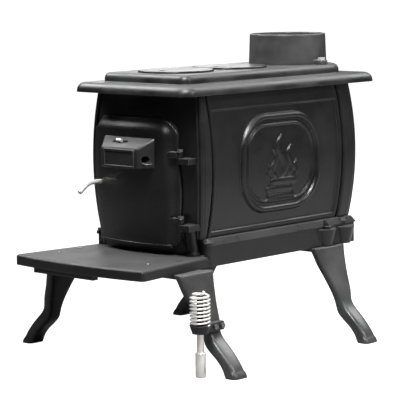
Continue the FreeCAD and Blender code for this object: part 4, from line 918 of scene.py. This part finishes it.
dress(makeGripCoil(gripCoil), "woundWireGrip", "handle", slotOf["handle_coil"], "handle_coil")
print("grip wound")
dress(makeHandleRod(handleRod, gripCoil["axis"]), "handleRod", "handle", slotOf["handle_shank"],
      "handle_shank", finish=otherFinish["handle_shank"])
print("handle rod turned")


# top plate: quarter-round cornice and a rounded raised tier, with holes for the lids and the flue

castTop = {
    "cornice": {"half": 0.158, "front": -0.220, "rear": 0.3775, "corners": (0.030, 0.030, 0.030, 0.030)},
    "tier": {"half": 0.1157, "front": -0.177, "rear": 0.360, "corners": (0.020, 0.020, 0.098, 0.098)},
    "foot": 0.524, "lip": 0.0020, "corniceRound": 0.0175, "shelf": 0.5435,
    "tierFoot": 0.5445, "tierSpread": 0.0010,
    "tierRound": 0.0125, "top": 0.562, "steps": 9, "axes": (0, 1, 2), "tightest": 0.004,
    "sidePoints": (24, 24, 24, 24), "cornerPoints": (12, 12, 12, 12),
    "holes": ((0.0, -0.07930, 0.06700), (0.0, 0.08190, 0.06700), (0.0, 0.26800, 0.07600)),
    "seats": ((0.0, -0.07930, 0.07680), (0.0, 0.08190, 0.07680)),
    "seatDepth": 0.007, "holeSides": 96, "overrun": 0.01,
}


def topRing(tray, inset):
    half, front, rear = tray["half"] - inset, tray["front"] + inset, tray["rear"] - inset
    radii = [max(radius - inset, castTop["tightest"]) for radius in tray["corners"]]
    return roundedOutline((-half, half, front, rear), radii, castTop["cornerPoints"], castTop["sidePoints"])


def quarterRound(tray, radius, foot, steps):  # rings that draw in as they rise
    angles = [math.pi / 2 * step / steps for step in range(steps + 1)]
    return [(topRing(tray, radius * (1 - math.cos(angle))), foot + radius * math.sin(angle))
            for angle in angles]


def topRings(look):  # every ring of the plate from its lip up to the cooktop
    rings = quarterRound(look["cornice"], look["corniceRound"], look["foot"] + look["lip"], look["steps"])
    rings.append((topRing(look["tier"], -look["tierSpread"]), look["shelf"]))
    rings.append((topRing(look["tier"], 0), look["tierFoot"]))
    tierStart = look["top"] - look["tierRound"]
    return rings + quarterRound(look["tier"], look["tierRound"], tierStart, look["steps"])


def makeCastTop(look):
    ring = topRing(look["cornice"], 0)
    plate = startPlate(ring, look["foot"], look["foot"] + look["lip"], look["axes"])
    for following, level in topRings(look)[1:]:
        ring = addRing(plate, ring, following, level, look["axes"])
    faceOutward()
    sides, high = look["holeSides"], look["top"] + look["overrun"]
    low, seat = look["foot"] - look["overrun"], look["top"] - look["seatDepth"]
    cutters = [addRod(sides, radius, x, y, low, high) for x, y, radius in look["holes"]]
    cutters += [addRod(sides, radius, x, y, seat, high) for x, y, radius in look["seats"]]
    for cutter in cutters:
        cutAway(plate, cutter)
    makeActive(plate)
    shadeSmooth(meshCare["crisp"])
    return plate


dress(makeCastTop(castTop), "castTop", "stove", slotOf["top_plate"], "top_plate",
      finish=otherFinish["top_plate"])
print("top plate cast")


# cabriole legs: rounded sections along an S-shaped line

cabrioleLeg = {
    "rows": [(0.1900, 0.0000, 0.0248, 0.0980), (0.1748, 0.0051, 0.0248, 0.0880),
             (0.1550, 0.0120, 0.0248, 0.0784), (0.1300, 0.0237, 0.0254, 0.0617),
             (0.1150, 0.0310, 0.0256, 0.0535), (0.1010, 0.0370, 0.0252, 0.0465),
             (0.0900, 0.0400, 0.0240, 0.0410), (0.0790, 0.0435, 0.0240, 0.0370),
             (0.0680, 0.0515, 0.0290, 0.0365), (0.0560, 0.0645, 0.0370, 0.0380),
             (0.0440, 0.0770, 0.0370, 0.0380), (0.0320, 0.0880, 0.0330, 0.0370),
             (0.0210, 0.0965, 0.0305, 0.0370), (0.0125, 0.1015, 0.0290, 0.0380),
             (0.0105, 0.1040, 0.0300, 0.0400), (0.0030, 0.1080, 0.0300, 0.0410),
             (0.0000, 0.1085, 0.0290, 0.0410)],  # height, reach, depth, width
    "around": 32, "rings": 64, "squareness": 4.0,
    "flange": (0.062, 0.080, 0.009), "flangeBevel": 0.0012, "flangeDrop": 0.0003,
    "places": {"front_left_leg": (-1, 0.188, -0.224), "front_right_leg": (1, 0.188, -0.224),
               "rear_left_leg": (-1, 0.166, 0.207),
               "rear_right_leg": (1, 0.166, 0.207)},  # side, shoulder, middle
}


def legRow(z):  # reach, depth and width at one height, smooth through the rows
    rows = cabrioleLeg["rows"]
    number = 0
    while number < len(rows) - 2 and z < rows[number + 1][0]:
        number += 1
    before, low, high, after = (rows[max(0, min(len(rows) - 1, number + step))] for step in (-1, 0, 1, 2))
    span = high[0] - low[0]
    share = (z - low[0]) / span
    cube, square = share ** 3, share ** 2
    values = []
    for column in (1, 2, 3):
        first = (high[column] - before[column]) / (high[0] - before[0]) * span
        last = (after[column] - low[column]) / (after[0] - low[0]) * span
        values.append((2 * cube - 3 * square + 1) * low[column] + (cube - 2 * square + share) * first
                      + (3 * square - 2 * cube) * high[column] + (cube - square) * last)
    return values


def makeFlange(look, side, shoulder, middle):
    deep, broad, thick = look["flange"]
    left, right = sorted((side * (shoulder - deep), side * shoulder))
    top = look["rows"][0][0] - look["flangeDrop"]
    low, high = (left, middle - broad / 2, top - thick), (right, middle + broad / 2, top)
    return addBlock(low, high, look["flangeBevel"])


def makeLeg(look, side, shoulder, middle):
    clearSelection()
    bpy.ops.mesh.primitive_cylinder_add(vertices=look["around"], radius=1, depth=1)
    leg = bpy.context.object
    bpy.ops.object.mode_set(mode="EDIT")
    slicePiece(2, -0.5, 0.5, look["rings"])
    bpy.ops.object.mode_set(mode="OBJECT")
    power = 2 / look["squareness"]
    for vertex in leg.data.vertices:
        z = (vertex.co.z + 0.5) * look["rows"][0][0]
        reach, depth, width = legRow(z)
        across = math.copysign(abs(vertex.co.x) ** power, vertex.co.x)
        along = math.copysign(abs(vertex.co.y) ** power, vertex.co.y)
        x = shoulder + reach - depth / 2 + depth / 2 * across
        vertex.co = (side * x, middle + width / 2 * along, z)
    faceOutward()
    return joinPieces([leg, makeFlange(look, side, shoulder, middle)])


for nodeName, place in cabrioleLeg["places"].items():
    words = nodeName.split("_")
    pieceName = words[0] + "".join(word.title() for word in words[1:])
    dress(makeLeg(cabrioleLeg, *place), pieceName, "stove", slotOf[nodeName], nodeName,
          finish=otherFinish.get(nodeName))
print("legs cast")


# camera, floor and light

cameraSetup = {
    "place": (2.7224, -2.9751, 0.7917), "look": (-0.6716, 0.7308, -0.1222), "roll": -0.7,
    "lens": 178.8, "sensor": 36, "far": 100,
}
lightSetup = {
    "overhead": {"place": (-0.3, 0.1, 3.0), "aim": (0, 0.05, 0.4), "size": 2.4, "power": 62},
    "cornerSpark": {"place": (0.85, -1.00, 2.55), "aim": (0.1, -0.2, 0.5), "size": 0.60, "power": 105},
    "doorKey": {"place": (0.85, -1.90, 2.25), "aim": (0.1, -0.2, 0.42), "size": 0.5, "power": 10},
    "leftHigh": {"place": (-2.1, -0.4, 2.6), "aim": (0, -0.15, 0.5), "size": 1.3, "power": 84},
    "backHigh": {"place": (0.5, 2.5, 2.5), "aim": (0.1, 0.1, 0.5), "size": 1.5, "power": 50},
    "backSheen": {"place": (-2.3, 2.2, 1.40), "aim": (0, 0, 0.5), "size": 0.9, "power": 9},
    "rightLow": {"place": (2.9, 1.80, 0.35), "aim": (0.1, 0.0, 0.35), "size": 1.1, "power": 1.5},
    "rightHigh": {"place": (2.5, 0.6, 2.3), "aim": (0.2, 0.0, 0.2), "size": 0.4, "power": 40},
}
# the floor's two tones are painted light: darker to the front left, paler to the back right
floorLook = {
    "size": 60, "pale": (0.34, 0.34, 0.34, 1), "dim": (0.10, 0.10, 0.10, 1), "toward": (0.8, 0.6, 0),
    "paleRange": (-0.4, 0.6), "roughness": 0.9, "glow": 1.05,
}
worldLook = {"toward": (0.80, 0.60, 0.0), "base": 0.11, "swing": 0.11, "lift": -0.05}


def placeCamera(setup):
    clearSelection()
    turn = Vector(setup["look"]).to_track_quat("-Z", "Y") @ Quaternion((0, 0, 1), math.radians(setup["roll"]))
    bpy.ops.object.camera_add(location=setup["place"], rotation=turn.to_euler())
    camera = bpy.context.object
    camera.data.lens = setup["lens"]
    camera.data.sensor_width = setup["sensor"]
    camera.data.clip_end = setup["far"]
    bpy.context.scene.camera = camera


def placeLights(setup):
    for name, light in setup.items():
        way = Vector(light["aim"]) - Vector(light["place"])
        turn = way.to_track_quat("-Z", "Y").to_euler()
        bpy.ops.object.light_add(type="AREA", location=light["place"], rotation=turn)
        lamp = bpy.context.object
        lamp.name = name
        lamp.data.size = light["size"]
        lamp.data.energy = light["power"]


def placeFloor(look):
    clearSelection()
    bpy.ops.mesh.primitive_plane_add(size=look["size"], location=(0, 0, 0))
    floor = bpy.context.object
    floor.name = "paleFloor"
    material, shader, place = newFinish("paleFloor")
    # painted light on the floor: its colour is darker toward the front left and paler toward the back right,
    # shaping the light thrown back onto the stove
    rightward = place.add("VectorMath", {"operation": "DOT_PRODUCT"}, output=1, i0=place, i1=look["toward"])
    tone = rightward.clamp(*look["paleRange"]).tint(look["dim"], look["pale"])
    place.plug(shader.inputs["Base Color"], tone)
    shader.inputs["Roughness"].default_value = look["roughness"]
    seen = place.add("LightPath", output=0)
    place.plug(shader.inputs["Emission Color"], seen.tint((0, 0, 0, 1), (1, 1, 1, 1)))
    shader.inputs["Emission Strength"].default_value = look["glow"]
    floor.data.materials.append(material)


def makeWorld(look):
    world = bpy.data.worlds.new("studioSweep")
    bpy.context.scene.world = world
    world.use_nodes = True
    tree = world.node_tree
    sky = tree.nodes["Background"]
    sky.inputs["Color"].default_value = (1, 1, 1, 1)
    way = Sock(tree, tree.nodes.new("ShaderNodeTexCoord").outputs["Generated"])
    across = way.add("VectorMath", {"operation": "DOT_PRODUCT"}, output=1, i0=way, i1=look["toward"])
    height = way.add("SeparateXYZ", output=2, Vector=way)
    seen = way.add("LightPath", output=0)
    glow = look["base"] + look["swing"] * across + look["lift"] * height
    way.plug(sky.inputs["Strength"], seen + (1 - seen) * glow)


placeCamera(cameraSetup)
placeLights(lightSetup)
placeFloor(floorLook)
makeWorld(worldLook)
bpy.context.scene.view_settings.view_transform = "Standard"
print("camera, floor and light placed")
